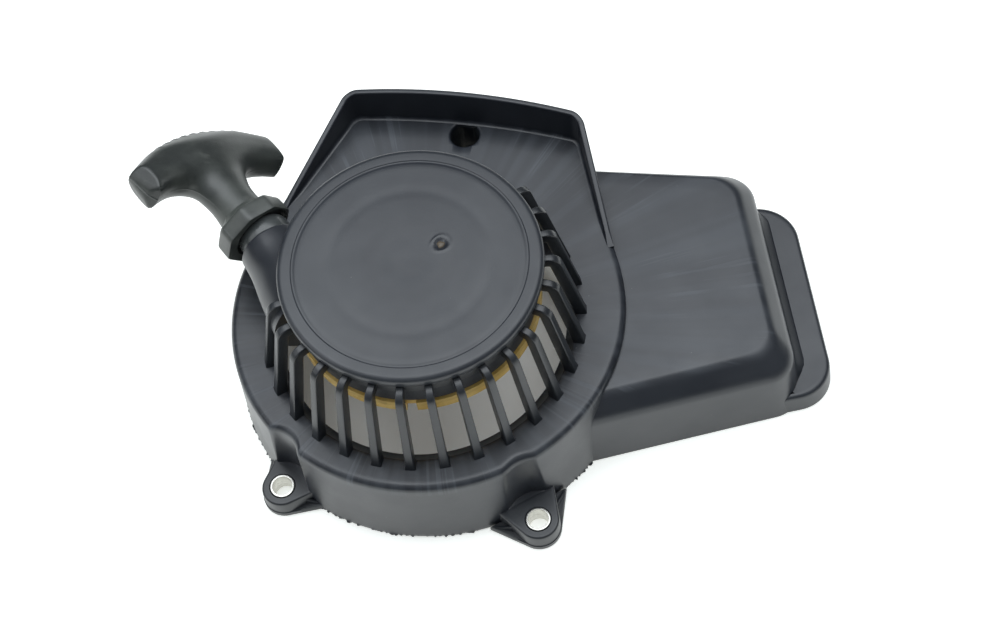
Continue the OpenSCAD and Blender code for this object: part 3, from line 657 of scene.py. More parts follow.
def buildSideCover():
    c, s = coverShape, shelfShape
    shares = roundedProfile([[0, 0, 0], [1, 0, c["shoulder"]], [1, 1, c["top"]], [1, 1.6, c["top"]]],
                            [0, 2.2, 2.6, 0], closed=False, count=8)
    shares = shares[:-1]
    lower = np.array([[t, 0, c["shoulder"] * t] for t in np.linspace(0, 0.86, 14)])
    profile = np.concatenate([lower, shares[1:]])
    outer = np.stack([coverRing(d, k, z) for d, k, z in profile])
    # cove: the right wall's foot swings out to meet the shelf
    low = np.clip((s["top"] + c["cove"] - outer[..., 2]) / c["cove"], 0, 1)
    swing = c["cove"] * (1 - np.sqrt(1 - np.minimum(low, 0.98) ** 2)) * (outer[..., 2] > s["top"] - 1.5)
    facing = smoothStep(outer[..., 0], c["reach"] - 9, c["reach"] - 2.5)
    facing = facing * smoothStep(outer[..., 1], -c["front"] + 6, -c["front"] + 15)
    facing = facing * smoothStep(-outer[..., 1], -c["back"] + 4, -c["back"] + 12)
    outer[..., 0] += swing * facing
    inner = np.stack([coverRing(d, k, z, c["wall"]) for d, k, z in
                      [(0, 0, 0), (0.5, 0, 12), (0.95, 0, 22.2), (1, 0.9, c["top"] - c["wall"])]])
    cover = addPiece("sideCoverShell", [(closedShell(outer, inner, (88.0, 0.0)), False, True)], "housing",
                     ["side_cover"])
    drum, full = revolved([[0, -5], [67.4, -5], [67.4, 50], [0, 50]], 240)
    drumAt = mounted(np.array([fanCentre[0], fanCentre[1], 0]))
    cut(cover, [addPiece("coverCutter", [(drum + drumAt, full, False)], None)])
    dress(cover, shellLook)

    right, front, back = c["reach"] + s["reach"], -c["front"], c["back"]
    outline = np.array([[c["reach"] - 9, front + 0.2], [right - 1, front + 1.0], [right - 0.3, back - 4],
                        [c["reach"] - 9, back - 4]], float)

    def shelfRing(inset, z):
        centre = outline.mean(0)
        span = np.abs(outline - centre).max(0)
        ring = roundedRing(centre + (outline - centre) * (1 - inset / span), s["radii"], 18, 22)
        return np.concatenate([ring, np.full((len(ring), 1), z)], 1)

    edge = roundedProfile([[0, 0], [0.7, s["top"]], [5, s["top"] - 0.2]], [0, s["edge"], 0], closed=False,
                          count=8)
    outer = np.stack([shelfRing(i, z) for i, z in edge])
    inner = np.stack([shelfRing(i, z) for i, z in ((2.0, 0), (2.6, s["top"] - 2.2))])
    middle = outline.mean(0)
    shelf = addPiece("sideShelf", [(closedShell(outer, inner, middle), False, True)], "housing", None)
    dress(shelf, shellLook)


buildSideCover()


# spring cup: a closed profile turned about the crank axis
capShape = {"plate": 3.0, "cupWall": 2.4, "cupLow": 56.7, "groove": 39.0, "grooveDeep": 0.35,
            "gateAt": (11.0, 4.7), "gateR": 2.6, "gateDeep": 0.8, "post": 7.0, "postEnd": 42.5, "pipR": 1.35,
            "pipHigh": 0.62}


def buildCap():
    c, plan = capShape, layout
    top, under = plan["capZ"], plan["capZ"] - c["plate"]
    inner = plan["cupR"] - c["cupWall"]
    rim = [[plan["capR"] - 2.2 + 2.2 * math.sin(a), top - 1.7 + 1.7 * math.cos(a)]
           for a in np.radians(np.linspace(0, 90, 10))]
    plate = [[r, top] for r in np.linspace(0, c["groove"] - 1.6, 44)]
    plate[-1] = [c["groove"] - 1.3, top - 0.05]
    step = [[c["groove"] + r, top - z] for r, z in
            ((-0.9, 0.12), (-0.45, 0.30), (-0.1, c["grooveDeep"]), (0.2, 0.30), (0.45, 0.04))]
    low = [[plan["capR"], top - 2.6], [plan["capR"] - 0.15, plan["lipZ"] + 0.5], [plan["capR"] - 0.6, plan["lipZ"]],
           [plan["cupR"] + 0.5, plan["lipZ"]], [plan["cupR"], plan["lipZ"] - 0.4], [plan["cupR"], c["cupLow"] + 0.4],
           [plan["cupR"] - 0.4, c["cupLow"]], [inner + 0.3, c["cupLow"]], [inner, c["cupLow"] + 0.4],
           [inner, under - 0.6], [inner - 0.6, under], [c["post"] + 0.8, under], [c["post"], under - 0.8],
           [c["post"], c["postEnd"] + 0.5], [c["post"] - 0.5, c["postEnd"]], [2.2, c["postEnd"]],
           [2.2, c["postEnd"] + 14], [0, c["postEnd"] + 14]]
    grid, full = revolved(plate + step + rim + low, 288)
    # gate mark: a small dish with a raised ring, and shallow sinks: z += sum of a exp(-((r - r0) / w)^2)
    away = np.linalg.norm(grid[..., :2] - np.array(c["gateAt"]), axis=-1)
    onTop = grid[..., 2] > top - 0.5
    dish = -c["gateDeep"] * (1 - smoothStep(away, c["gateR"] * 0.35, c["gateR"]))
    ring = 0.18 * np.exp(-((away - c["gateR"] - 0.3) / 0.45) ** 2)
    radius = np.linalg.norm(grid[..., :2], axis=-1)
    sink = -0.10 * np.exp(-((radius - 27.0) / 2.0) ** 2) - 0.16 * np.exp(-(radius / 12.0) ** 2)
    grid[..., 2] += onTop * (dish + ring + sink)
    cap = addPiece("springCap", [(grid, full, False)], "housing", ["spring_cup"])
    hole = tube(alongRope(np.stack([np.zeros(6), np.zeros(6), np.linspace(12, 46, 6)], -1)), 3.0, 24)
    cut(cap, [addPiece("capCutter", [(cappedSweep(hole), False, True)], None)])
    dress(cap, capLook)
    # the pip left where the runner was broken off, torn a little
    t = np.linspace(0, math.pi / 2, 10)
    dome = np.stack([c["pipR"] * np.cos(t), c["pipHigh"] * np.sin(t)], -1).tolist()
    pip, full = revolved([[0, -0.4], [c["pipR"], -0.4]] + dome, 40)
    turn = np.arctan2(pip[..., 1], pip[..., 0])
    torn = 1 + 0.10 * np.sin(3 * turn + 1) + 0.06 * np.sin(5 * turn)
    pip[..., :2] *= torn[..., None]
    pip = pip + np.array([c["gateAt"][0], c["gateAt"][1], top - 0.85])
    dress(addPiece("gatePip", [(pip, full, False)], "housing", None), gateLook)


buildCap()

# cage: ribs are one rounded section carried along an elbowed path
ribShape = {"places": 30, "thick": 2.8, "deep": 4.1, "elbowR": 49.2, "round": 0.5, "elbow": 2.4, "backThick": 2.2,
            "ringThick": 1.8, "ringHigh": 4.8, "reelRoom": 42.35, "reelTop": 56.8, "boreR": 9.6}


def buildCage():
    r, plan = ribShape, layout
    half, deep = r["thick"] / 2, r["deep"] / 2
    foot = plan["openingR"] + r["deep"] / 2
    elbow = r["elbowR"] - deep
    line = roundedProfile([[plan["cupR"] - 0.1, plan["lipZ"] - deep - 0.1], [elbow, plan["lipZ"] - deep - 0.1],
                           [foot, plan["deckZ"] - 0.4]], [0, r["elbow"], 0], closed=False, count=10)
    steep = np.linspace(line[-2], line[-1], 16)
    path = np.concatenate([np.linspace(line[0], line[1], 4)[:-1], line[1:-1], steep[1:]])
    tangent = unit(np.gradient(path, axis=0))
    normal = np.stack([-tangent[:, 1], tangent[:, 0]], -1)
    # section: a rectangle with rounded corners, a little wider at the deck
    section = roundedProfile([[-half, -deep, 0], [half, -deep, 0], [half, deep, 0], [-half, deep, 0]],
                             [r["round"]] * 4, count=5)
    down = smoothStep(-path[:, 1], -plan["lipZ"], -plan["deckZ"])
    spread = smoothStep(-path[:, 1], -plan["deckZ"] - 1.2, -plan["deckZ"])
    widen = (0.93 + 0.12 * down + 0.35 * spread)[:, None]
    across = section[None, :, 0] * widen
    radial = path[:, :1] + normal[:, :1] * section[None, :, 1]
    height = path[:, 1:] + normal[:, 1:] * section[None, :, 1]
    height = np.maximum(height, plan["deckZ"] - 0.6)
    rib = cappedSweep(np.stack([radial, across, height], -1))
    step = 360 / r["places"]
    openSide = 360 + plan["backStart"] - plan["backEnd"]
    first = math.ceil((plan["backEnd"] - 360 + 90 + step / 2) / step)
    last = math.floor((plan["backStart"] + 90 - step / 4) / step)
    ribs = [(turned(rib, -90 + step * i), False, True) for i in range(first, last + 1)]
    ringIn, ringOut = plan["cupR"] - 0.05, plan["cupR"] + r["ringThick"]
    ringLow, ringTop = plan["lipZ"] - r["ringHigh"], plan["lipZ"] - 0.2
    collar, full = revolved(roundedProfile([[ringIn, ringLow], [ringOut, ringLow], [ringOut, ringTop],
                                            [ringIn, ringTop]], [0, 0.5, 0, 0]), 200)
    flare = plan["cupR"] + r["backThick"]
    # the wall behind: thinner beside the reel, with a small foot on the deck
    wall = roundedProfile([[plan["cupR"], r["reelTop"]], [r["reelRoom"], r["reelTop"]],
                           [r["reelRoom"], plan["deckZ"] - 2.0], [flare + 1.2, plan["deckZ"] - 2.0],
                           [flare + 1.2, plan["deckZ"]], [flare, plan["deckZ"] + 1.4], [flare, plan["lipZ"] - 0.1],
                           [plan["cupR"], plan["lipZ"] - 0.1]], [0, 0, 0, 0, 0, 1.2, 0, 0])
    back, _ = revolved(wall, 90, plan["backStart"], 360 - openSide)
    ends = back.mean(1, keepdims=True)
    back = np.concatenate([np.broadcast_to(ends[:1], back[:1].shape), back,
                           np.broadcast_to(ends[-1:], back[-1:].shape)])
    bore = revolvedAlong([[0, 5], [r["boreR"], 5], [r["boreR"], 60], [0, 60]], 48)
    # the ribs, the ring that joins their heads and the wall behind are one moulding in three pieces
    pieces = [addPiece("ribCage", ribs, "housing", ["rib_cage"]),
              addPiece("cageRing", [(collar, full, True)], "housing", None),
              addPiece("cageBack", [(back, False, True)], "housing", None)]
    cut(pieces[2], [addPiece("cageCutter", [bore], None)])
    for piece in pieces:
        dress(piece, ribLook)


def revolvedAlong(profile, count=96):
    # a profile (radius, distance along the rope) turned about the rope's line
    grid, full = revolved(profile, count)
    return alongRope(grid), full, False


buildCage()

# rope nozzle, with its collar
nozzleShape = {"r": 11.3, "root": 13.6, "bore": 7.3, "collarR": 9.3, "collarLong": 9.3, "mouthR": 3.0, "bell": 2.5,
               "short": 2.3, "reelRoom": 42.3, "capRoom": 44.4}


def buildNozzle():
    n, plan = nozzleShape, layout
    end = plan["nozzleEnd"]
    tip = end - n["short"]
    outer = [[n["bore"], 9.0], [n["root"] + 1.4, 9.0], [n["root"] + 0.8, 16.0], [n["root"] - 0.3, 24.0],
             [n["r"] + 0.25, 33.0], [n["r"], tip - 0.1], [n["r"] - 1.4, tip], [n["bore"], tip]]
    profile = roundedProfile(outer, [0, 0, 3.0, 4.0, 4.0, 0.6, 0, 0.3], count=7)
    body = addPiece("ropeNozzle", [(*revolvedAlong(profile, 128)[:1], True, True)], "housing",
                    ["rope_nozzle"])
    # room for the reel and for the cap
    drum, full = revolved([[0, 20], [n["reelRoom"], 20], [n["reelRoom"], 56.8], [41.0, 56.8], [41.0, 95],
                           [0, 95]], 160)
    slab, fullSlab = revolved([[0, plan["lipZ"] - 0.1], [n["capRoom"], plan["lipZ"] - 0.1], [n["capRoom"], 95],
                               [0, 95]], 160)
    cut(body, [addPiece("nozzleCutterA", [(drum, full, False)], None),
               addPiece("nozzleCutterB", [(slab, fullSlab, False)], None)])
    dress(body, shellLook)
    mouth = plan["mouth"]
    # collar: pressed in, with a shoulder outside and a quarter-round bell at the mouth
    bell = [[n["mouthR"] + n["bell"] * (1 - math.sin(a)), mouth - n["bell"] * (1 - math.cos(a))]
            for a in np.radians(np.linspace(0, 90, 8))]
    ring = [[n["mouthR"], end - n["collarLong"]], [7.25, end - n["collarLong"]], [7.25, tip - 0.2],
            [8.0, tip + 0.05], [8.0, tip + 1.0],
            [n["collarR"] - 0.15, tip + 1.1], [n["collarR"], tip + 1.4], [n["collarR"], mouth - 1.2],
            [n["collarR"] - 0.35, mouth - 0.45], [n["collarR"] - 1.2, mouth]]
    grid = revolvedAlong(ring + bell, 112)[0]
    collar = addPiece("ropeCollar", [(grid, True, True)], "housing", ["rope_eyelet"])
    dress(collar, collarLook)


buildNozzle()

# lugs: outlines by angle about the bush, stacked up, with a low plate and gusset webs
lugShape = {"r": 7.2, "high": 8.0, "plate": 2.4, "reach": 15.0, "web": 1.0, "edge": 0.8, "bushR": 4.3, "lip": 1.3}


def lugOutline(angles, r, spread, depth):
    # hull of the boss circle and a wider edge that stands depth towards the wall, by angle
    tips = np.array([[depth, spread], [depth, -spread]])
    gap = np.linalg.norm(tips[0])
    bearing = math.atan2(spread, depth)
    lean = math.acos(min(1, r / gap))
    a = np.linspace(bearing + lean, tau - bearing - lean, 90)
    boss = r * np.stack([np.cos(a), np.sin(a)], -1)
    line = np.concatenate([tips[:1], boss, tips[1:], tips[:1]])
    return rayReach(angles, line, np.zeros(2))


def buildLug(name, at, node):
    s = lugShape
    inward = unit(fanCentre - at)
    heading = math.atan2(inward[1], inward[0])
    a = np.linspace(0, tau, 220, endpoint=False)
    ray = np.stack([np.cos(a), np.sin(a)], -1)
    relative = (a + math.pi) % tau - math.pi
    boss = lugOutline(relative, s["r"], s["r"] * 1.5, 9.0)
    # the wide plate under the boss
    plate = lugOutline(relative, s["r"] + 0.5, s["reach"], 8.0)
    tall = [(boss + 0.35, 0.0), (boss + 0.25, s["plate"]), (boss + 0.1, s["high"] - 2),
            (boss, s["high"] - s["edge"])]
    tall += [(boss - s["edge"] * (1 - math.cos(t)), s["high"] - s["edge"] * (1 - math.sin(t)))
             for t in np.radians(np.linspace(15, 90, 5))]
    lipOut, lipIn = s["bushR"] + s["lip"], s["bushR"]
    inner = boss - s["edge"]
    tall += [(inner + (lipOut - inner) * t, s["high"]) for t in (0.3, 0.6, 1.0)]
    tall += [(np.full_like(a, lipIn + 0.35), s["high"]), (np.full_like(a, lipIn), s["high"] - 0.35),
             (np.full_like(a, lipIn), 0.0)]
    hole = np.full_like(a, lipIn + 1)
    flat = [(plate, 0.0), (plate, s["plate"] - 0.5), (plate - 0.5, s["plate"]), (hole, s["plate"]),
            (hole, 0.0)]
    grids = []
    for rows in (tall, flat):
        radius = np.stack([np.broadcast_to(r, a.shape) for r, z in rows])
        height = np.stack([np.broadcast_to(z, a.shape) for r, z in rows]).astype(float)
        grid = np.stack([radius * ray[:, 0], radius * ray[:, 1], height], -1)
        grid = turned(grid, math.degrees(heading)) + np.array([at[0], at[1], 0])
        grids.append((mounted(grid), True, True))
    # two upright gusset webs on the plate, from the boss out to the shroud's wall
    for sign in (-1, 1):
        start, end = np.array([1.5, sign * s["r"] * 0.9]), np.array([7.2, sign * (s["reach"] - 1.5)])
        along = np.linspace(0, 1, 14)[:, None]
        line = start + (end - start) * along
        side = unit(np.array([-(end - start)[1], (end - start)[0]])) * s["web"] / 2
        tops = s["plate"] + (s["high"] - s["plate"] - 0.6) * (1 - along[:, 0]) ** 1.5 + 0.25
        foot = np.zeros(14)
        section = ((-1, foot), (-1, tops - 0.25), (-0.5, tops), (0.5, tops), (1, tops - 0.25), (1, foot))
        rings = np.stack([np.concatenate([line + side * k, z[:, None]], 1) for k, z in section], 1)
        grid = turned(cappedSweep(rings), math.degrees(heading)) + np.array([at[0], at[1], 0])
        grids.append((mounted(grid), False, True))
    lug = addPiece(name, grids, "housing", [node])
    dress(lug, lugLook)


buildLug("leftLug", leftLug, "left_lug")
buildLug("rightLug", rightLug, "right_lug")


# bolt well and steel sleeves
wellShape = {"outR": 7.3, "inR": 5.35, "seatR": 4.3, "sleeveR": 4.25, "boreR": 3.5, "proud": 0.2}


def buildWellAndBushes():
    w, low, top = wellShape, layout["lugH"], layout["deckZ"] - 2.4
    tubeWall = roundedProfile([[w["seatR"], 0], [w["outR"], 0], [w["outR"], top], [w["inR"], top], [w["inR"], low],
                               [w["seatR"], low]],
                              [0, 0.4, 0, 0, 0.5, 0.3])
    grid, full = revolved(tubeWall, 96)
    well = addPiece("boltWell", [(mounted(grid + np.array([*wellAt, 0])), full, True)], "housing",
                    ["bolt_well"])
    dress(well, ribLook)
    # rolled steel sleeves: chamfered inside, a hair proud of the plastic
    top = low + w["proud"]
    sleeve = roundedProfile([[w["boreR"], 0.1], [w["sleeveR"], 0.1], [w["sleeveR"], top], [w["boreR"] + 0.05, top],
                             [w["boreR"], top - 0.3]],
                            [0.15, 0.2, 0.28, 0.05, 0])
    grids = []
    for at in (leftLug, rightLug, wellAt):
        grid, full = revolved(sleeve, 80)
        grids.append((mounted(grid + np.array([at[0], at[1], 0])), full, True))
    dress(addPiece("mountingSleeves", grids, "housing", ["mounting_bushes"]), bushLook)


buildWellAndBushes()

# T grip: where rays from the bar's middle leave a soft union of bar and stem
gripShape = {"half": 26.0, "midR": 8.8, "endR": 7.2, "droop": 4.8, "reach": 36.0, "depth": 0.93,
             "end": 31.7, "blend": 7.0, "stemR": 7.4, "knotFloor": 32.5, "lag": (-1.15, 0.90), "ribs": 9,
             "ribHigh": 0.32, "square": 2.6, "pocketR": 4.9, "ropeR": 1.8, "seamHigh": 0.16}


def gripDistance(p):
    # about the distance to the grip's surface: negative inside. The bar's line is z = reach - droop t^2 with
    # x = half t; t is found by two Newton steps, and (|y|^n + |across|^n + |along|^n)^(1/n) is the distance to it
    g = gripShape
    x, y, z = p[..., 0], p[..., 1], p[..., 2]
    t = np.clip(x / g["half"], -1, 1)
    for _ in range(2):
        cx, cz = g["half"] * t, g["reach"] - g["droop"] * t ** 2
        tx, tz = g["half"], -2 * g["droop"] * t
        t = np.clip(t + ((x - cx) * tx + (z - cz) * tz) / (tx ** 2 + tz ** 2), -1.25, 1.25)
    cx, cz = g["half"] * t, g["reach"] - g["droop"] * t ** 2
    slope = np.sqrt(g["half"] ** 2 + (2 * g["droop"] * t) ** 2)
    across = (-(x - cx) * (-2 * g["droop"] * t) + (z - cz) * g["half"]) / slope
    across = np.where(across < 0, across * 1.10, across)
    along = ((x - cx) * g["half"] + (z - cz) * (-2 * g["droop"] * t)) / slope
    r = g["midR"] + (g["endR"] - g["midR"]) * np.minimum(t ** 2, 1.2)
    n = g["square"]
    bar = (np.abs(y / g["depth"]) ** n + np.abs(across) ** n + np.abs(along) ** n + 1e-9) ** (1 / n) - r
    # each tip is cut square, then chamfered at its sides and below
    bar = softMax(bar, np.abs(x) * 0.97 + np.abs(z - g["reach"]) * 0.12 - g["end"], 0.9)
    bar = softMax(bar, np.abs(x) * 0.86 + np.abs(y) * 0.51 - g["end"] * 0.90, 0.7)
    bar = softMax(bar, np.abs(x) * 0.80 + (g["reach"] - g["droop"] - z) * 0.60 - g["end"] * 0.89, 0.7)
    wide = smoothStep(z, 10, 34)
    foot = 1 - smoothStep(z, 6, 30)
    sx, sy = x - g["lag"][0] * foot, y - g["lag"][1] * foot
    stem = np.sqrt((sx / (1 + 0.9 * wide)) ** 2 + (sy * (1 - 0.02 * wide)) ** 2) - g["stemR"]
    stem = stem - 0.9 * (1 - smoothStep(z, 8, 18))
    stem = softMax(stem, z - g["reach"], 3)
    stem = softMax(stem, 7.0 - z, 0.6)
    return softMin(bar, stem, g["blend"])


def buildGrip():
    g = gripShape
    u = np.linspace(0, math.pi, 260)
    v = np.linspace(0, tau, 320, endpoint=False)
    v = v - 0.21 * np.sin(2 * v)
    uu, vv = np.meshgrid(u, v, indexing="ij")
    ray = np.stack([np.cos(uu), np.sin(uu) * np.sin(vv), np.sin(uu) * np.cos(vv)], -1)
    middle = np.array([0, 0, g["reach"] - 1.0])
    low, high = np.zeros(uu.shape), np.full(uu.shape, 60.0)
    for _ in range(26):
        half = (low + high) / 2
        inside = gripDistance(middle + ray * half[..., None]) < 0
        low, high = np.where(inside, half, low), np.where(inside, high, half)
    grid = middle + ray * low[..., None]
    x, y, z = grid[..., 0], grid[..., 1], grid[..., 2]
    # raised parting line, and plain grip ribs over the outer face
    seam = g["seamHigh"] * np.exp(-(y / 0.22) ** 2)
    outer = smoothStep(z, g["reach"] + 1.0 - g["droop"] * (x / g["half"]) ** 2, g["reach"] + 4.5)
    pitch = 2 * 17.0 / (g["ribs"] - 1)
    wave = np.clip(np.cos(tau * x / pitch), 0, 1) ** 0.6 * (np.abs(x) < 18.2)
    fade = smoothStep(7.0 - np.abs(y), 0, 1.2)
    grid = grid + ray * (seam + g["ribHigh"] * wave * outer * fade)[..., None]
    grip = addPiece("tGrip", [(alongGrip(grid), False, True)], "handle", ["handle_grip"], 60)
    # knot pocket in the outer face and the rope's hole below it
    pocket = roundedProfile([[0, g["knotFloor"]], [g["pocketR"], g["knotFloor"]], [g["pocketR"], 43.6], [6.2, 46.5],
                             [6.2, 60], [0, 60]],
                            [0, 0.5, 1.2, 0, 0, 0])
    ring, full = revolved(pocket, 60)
    hole, holeFull = revolved([[0, -10], [g["ropeR"], -10], [g["ropeR"], 40], [0, 40]], 24)
    cut(grip, [addPiece("pocketCutter", [(alongGrip(ring), full, False)], None),
               addPiece("ropeCutter", [(alongGrip(hole), holeFull, False)], None)], sharp=55)
    dress(grip, rubberLook)


# skirt: rows of (share of the octagon, plain radius, height), up the inside, round the mouth and up the outside
skirtShape = {"r": 13.6, "cornerR": 13.35, "rows": (
    (None, 1.8, 2.0), (None, 9.9, 2.0), (None, 10.3, 1.4), (None, 10.4, 0.1), (None, 10.7, -0.4),
    (0.965, None, -0.4), (0.99, None, -0.25), (1.0, None, 0.1), (1.0, None, 2), (0.995, None, 4.6),
    (0.985, None, 5.6), (0.955, None, 6.1), (0.90, None, 6.4), (0.80, None, 6.8), (None, 9.7, 7.4),
    (None, 8.6, 8.6), (None, 7.6, 10.2), (None, 5.0, 10.8), (None, 1.8, 10.8))}


def buildSkirt():
    # the octagon's reach at angle a is r cos(tau/16) / cos(a's turn from the flat's middle)
    k, lag, rows = skirtShape, gripShape["lag"], skirtShape["rows"]
    a = np.linspace(0, tau, 256, endpoint=False)
    wedge = (a + tau / 16) % (tau / 8) - tau / 16
    flats = k["r"] * math.cos(math.pi / 8) / np.cos(wedge)
    octagon = softMin(flats, np.full_like(a, k["cornerR"]), 0.3)
    turn = tau / 16
    ray = np.stack([np.cos(a + turn), np.sin(a + turn)], -1)
    radius = np.stack([octagon * share if share else np.full_like(a, plain) for share, plain, z in rows])
    height = np.stack([np.full_like(a, z) for share, plain, z in rows])
    grid = np.stack([radius * ray[:, 0], radius * ray[:, 1], height], -1)
    outer = np.array([share is not None or z > 7 for share, plain, z in rows])[:, None]
    outside = outer * smoothStep(radius, 2, 7)
    grid[..., 0] += lag[0] * outside
    grid[..., 1] += lag[1] * outside
    seam = 0.15 * np.exp(-(grid[..., 1] / 0.35) ** 2) * (radius > 7)
    grid[..., :2] *= 1 + (seam / np.maximum(radius, 1))[..., None]
    dress(addPiece("gripSkirt", [(alongGrip(grid), True, True)], "handle", None), rubberLook)


buildGrip()
buildSkirt()

# rope: one line from the winding to the knot
ropeShape = {"d": 3.0, "start": 9.5, "knotR": 4.1, "strand": 1.35}


def knotPath(radius, count=200):
    # trefoil: (sin t + 2 sin 2t, cos t - 2 cos 2t, -sin 3t), brought to the knot's size
    t = np.linspace(0, tau, count, endpoint=False)
    line = np.stack([np.sin(t) + 2 * np.sin(2 * t), np.cos(t) - 2 * np.cos(2 * t), -1.15 * np.sin(3 * t)], -1)
    return line / 3 * radius


def mappedTube(name, path, radius, sides, closed, body, stands, blendTo=None):
    # a tube with its map: u is metres along it, v is turns around it
    rings = tube(path, radius, sides)
    if not closed:
        rings = cappedSweep(rings)
    rows = len(rings)
    steps = np.concatenate([[0], np.cumsum(np.linalg.norm(np.diff(rings.mean(1), axis=0), axis=1))]) * mm
    faces = gridFaces(rows, sides, closed, True)
    mesh = bpy.data.meshes.new(name)
    mesh.from_pydata((rings.reshape(-1, 3) * mm).tolist(), [], faces.tolist())
    row, column = faces // sides, faces % sides
    column = np.where((column == 0) & ((faces % sides).max(1, keepdims=True) == sides - 1), sides, column)
    row = np.where((row == 0) & (row.max(1, keepdims=True) == rows - 1) & closed, rows - 1, row)
    layer = mesh.uv_layers.new(name="braid")
    pairs = np.stack([steps[row], column / sides], -1)
    layer.data.foreach_set("uv", pairs.reshape(-1).astype(np.float32))
    finishMesh(mesh, 60)
    piece = bpy.data.objects.new(name, mesh)
    bpy.context.scene.collection.objects.link(piece)
    if blendTo:
        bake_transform(piece)
    else:
        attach(piece, body)
    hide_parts(*stands)
    print("piece", name, len(mesh.polygons), "faces")
    return dress(piece, cordLook)


def buildRope():
    r, plan = ropeShape, layout
    mouth = plan["mouth"]
    def line(low, high, count):
        return np.stack([np.zeros(count), np.zeros(count), np.linspace(low, high, count)], -1)

    straight = alongRope(line(r["start"], mouth - 0.6, 160))
    lifted = alongGrip(line(0.4, gripShape["knotFloor"] + 1.4, 60))
    path = np.concatenate([straight, lifted])
    start = alongRope(np.array([0, 0, mouth - 7.0])) * mm
    end = alongGrip(np.array([0, 0, 1.8])) * mm
    mappedTube("starterRope", path, r["d"] / 2, 14, False, None, ["starter_rope"],
               ("housing", "handle", tuple(start), tuple(end)))
    knot = knotPath(r["knotR"] - r["strand"])
    at = gripShape["knotFloor"] + 1.2 + r["knotR"] * 0.72
    mappedTube("gripKnot", alongGrip(knot + np.array([0, 0, at])), r["strand"], 12, True, "handle",
               ["handle_knot"])
    low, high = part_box("reel_knot")
    middle = np.array((low + high) / 2) / mm
    mappedTube("drumKnot", knot + middle, r["strand"], 12, True, "reel", ["reel_knot"])


buildRope()

def woundCord():
    # the same braid where there is no map: strands lie round the drum
    g = Graph("woundCord")
    lines = g.noise(g.vector("MULTIPLY", g.place, (900.0, 900.0, 2400.0)), 1.0, 3.0)
    grime = g.range(g.noise(g.place, 130.0, 4.0), 0.45, 0.75)
    colour = g.mix(g.range(lines, 0.35, 0.65), (0.36, 0.34, 0.30), (0.72, 0.70, 0.64))
    colour = g.mix(grime * 0.5, colour, (0.20, 0.185, 0.16))
    return g.finish({"Base Color": colour, "Roughness": g.range(lines, 0.3, 0.7, 0.68, 0.85),
                     "Normal": g.bump(lines, 0.6, 0.0002)}, {"Sheen Weight": 0.25})


# CAD nodes that stay, with their finishes
finishes = {
    "recoil_spring": springLook, "rope_reel": reelLook, "wound_rope": woundCord(), "handle_washer": screwLook,
    "pawl_1": clutchLook, "pawl_2": clutchLook, "pawl_spring_1": springLook, "pawl_spring_2": springLook,
    "pawl_guide": clutchLook, "brake_spring": springLook, "thrust_washer": screwLook, "centre_screw": screwLook,
}
for node, material in finishes.items():
    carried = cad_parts[node]
    if carried.material_slots:
        for place in carried.material_slots:
            place.material = material
    else:
        carried.data.materials.append(material)
print("carried nodes dressed:", len(finishes))

# floor, light, camera
stageLook = {"floor": (0.90, 0.90, 0.88), "glow": 0.55, "shade": (0.052, 0.070), "span": 3.0, "sink": 0.0003,
             "horizon": 0.045, "zenith": 0.66, "top": 14.0, "fill": 2.0}


def paleFloor():
    # a table with painted light: it glows a little, which also lights the object's walls, and where the object
    # covers it the glow is dimmed to a painted shadow
    g = Graph("paleFloor")
    cloud = g.noise(g.place, 1.6, 3.0)
    warm = tuple(c * 0.985 for c in stageLook["floor"])
    colour = g.mix(g.range(cloud, 0.3, 0.7), stageLook["floor"], warm)
    glow = g.mix(g.range(cloud, 0.3, 0.7), (0.97, 1.0, 0.955), (0.955, 0.985, 0.94))
    away = g.vector("LENGTH", g.place, out=1)
    # painted shadow: within the object's footprint the glow drops to a dark grey
    glow = g.mix(g.range(away, *stageLook["shade"]), (0.14, 0.14, 0.13), glow)
    return g.finish({"Base Color": colour, "Roughness": 0.7 + cloud * 0.1, "Emission Color": glow},
                    {"Emission Strength": stageLook["glow"]})


floorMesh = bpy.data.meshes.new("floor")
floorMesh.from_pydata([(x * stageLook["span"], y * stageLook["span"], -stageLook["sink"])
                       for x, y in ((-1, -1), (1, -1), (1, 1), (-1, 1))], [], [(0, 1, 2, 3)])
floor = bpy.data.objects.new("floor", floorMesh)
bpy.context.scene.collection.objects.link(floor)
floorMesh.materials.append(paleFloor())
print("floor ready")

world = bpy.data.worlds.new("studio")
bpy.context.scene.world = world
world.use_nodes = True
world.node_tree.nodes["Background"].inputs[1].default_value = 1.0
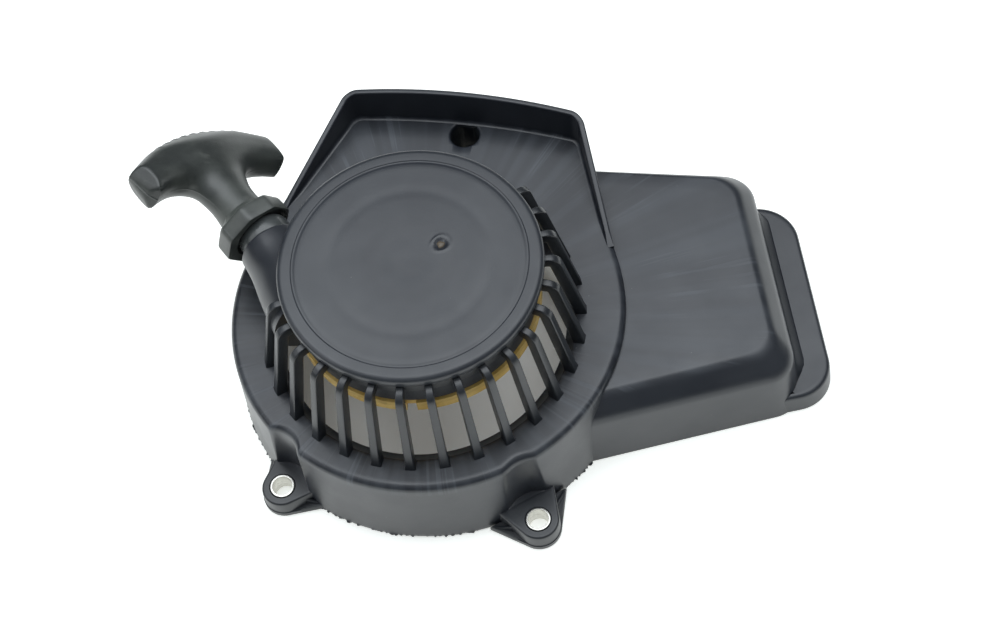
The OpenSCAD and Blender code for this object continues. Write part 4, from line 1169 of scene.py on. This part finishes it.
# a studio that is darker towards the horizon than overhead
tree = world.node_tree
direction = tree.nodes.new("ShaderNodeTexCoord")
split = tree.nodes.new("ShaderNodeSeparateXYZ")
ramp = tree.nodes.new("ShaderNodeValToRGB")
low, high = stageLook["horizon"], stageLook["zenith"]
for stop, where, tint in zip(ramp.color_ramp.elements, (0.25, 0.95),
                             ((low, low, low * 1.04, 1), (high * 0.95, high, high * 1.07, 1))):
    stop.position, stop.color = where, tint
tree.links.new(direction.outputs["Generated"], split.inputs[0])
tree.links.new(split.outputs[2], ramp.inputs[0])
tree.links.new(ramp.outputs[0], tree.nodes["Background"].inputs[0])


def addLight(name, at, size, power, towards, tint):
    data = bpy.data.lights.new(name, "AREA")
    data.shape, data.size, data.size_y, data.energy, data.color = "RECTANGLE", size[0], size[1], power, tint
    lamp = bpy.data.objects.new(name, data)
    bpy.context.scene.collection.objects.link(lamp)
    aim = Vector(towards) - Vector(at)
    lamp.location = at
    lamp.rotation_euler = aim.to_track_quat("-Z", "Y").to_euler()
    return lamp


addLight("softTop", (0.05, 0.28, 1.25), (1.8, 1.0), stageLook["top"], (0.03, 0.02, 0), (0.95, 1, 1.04))
addLight("softLeft", (-1.1, -0.1, 0.8), (0.8, 0.8), stageLook["fill"], (0, 0, 0.03), (0.97, 0.985, 1))

cameraShape = {"elevation": 60.45, "roll": -9.68, "distance": 0.688, "aim": (0.0264, -0.0015, 0.035),
               "lens": 72.0}


def addCamera():
    c = cameraShape
    e, r = math.radians(c["elevation"]), math.radians(c["roll"])
    ahead = np.array([0, math.cos(e), -math.sin(e)])
    right, up = np.array([1.0, 0, 0]), np.array([0, math.sin(e), math.cos(e)])
    rolledRight = right * math.cos(r) + up * math.sin(r)
    rolledUp = up * math.cos(r) - right * math.sin(r)
    data = bpy.data.cameras.new("camera")
    data.lens, data.sensor_width, data.clip_start = c["lens"], 36.0, 0.01
    camera = bpy.data.objects.new("camera", data)
    bpy.context.scene.collection.objects.link(camera)
    turn = Matrix([list(t) for t in zip(rolledRight, rolledUp, -ahead)])
    camera.matrix_world = Matrix.Translation(Vector(c["aim"]) - Vector(ahead) * c["distance"]) @ turn.to_4x4()
    bpy.context.scene.camera = camera


addCamera()
print("lights and camera ready")
bpy.context.scene.view_settings.view_transform = "Standard"
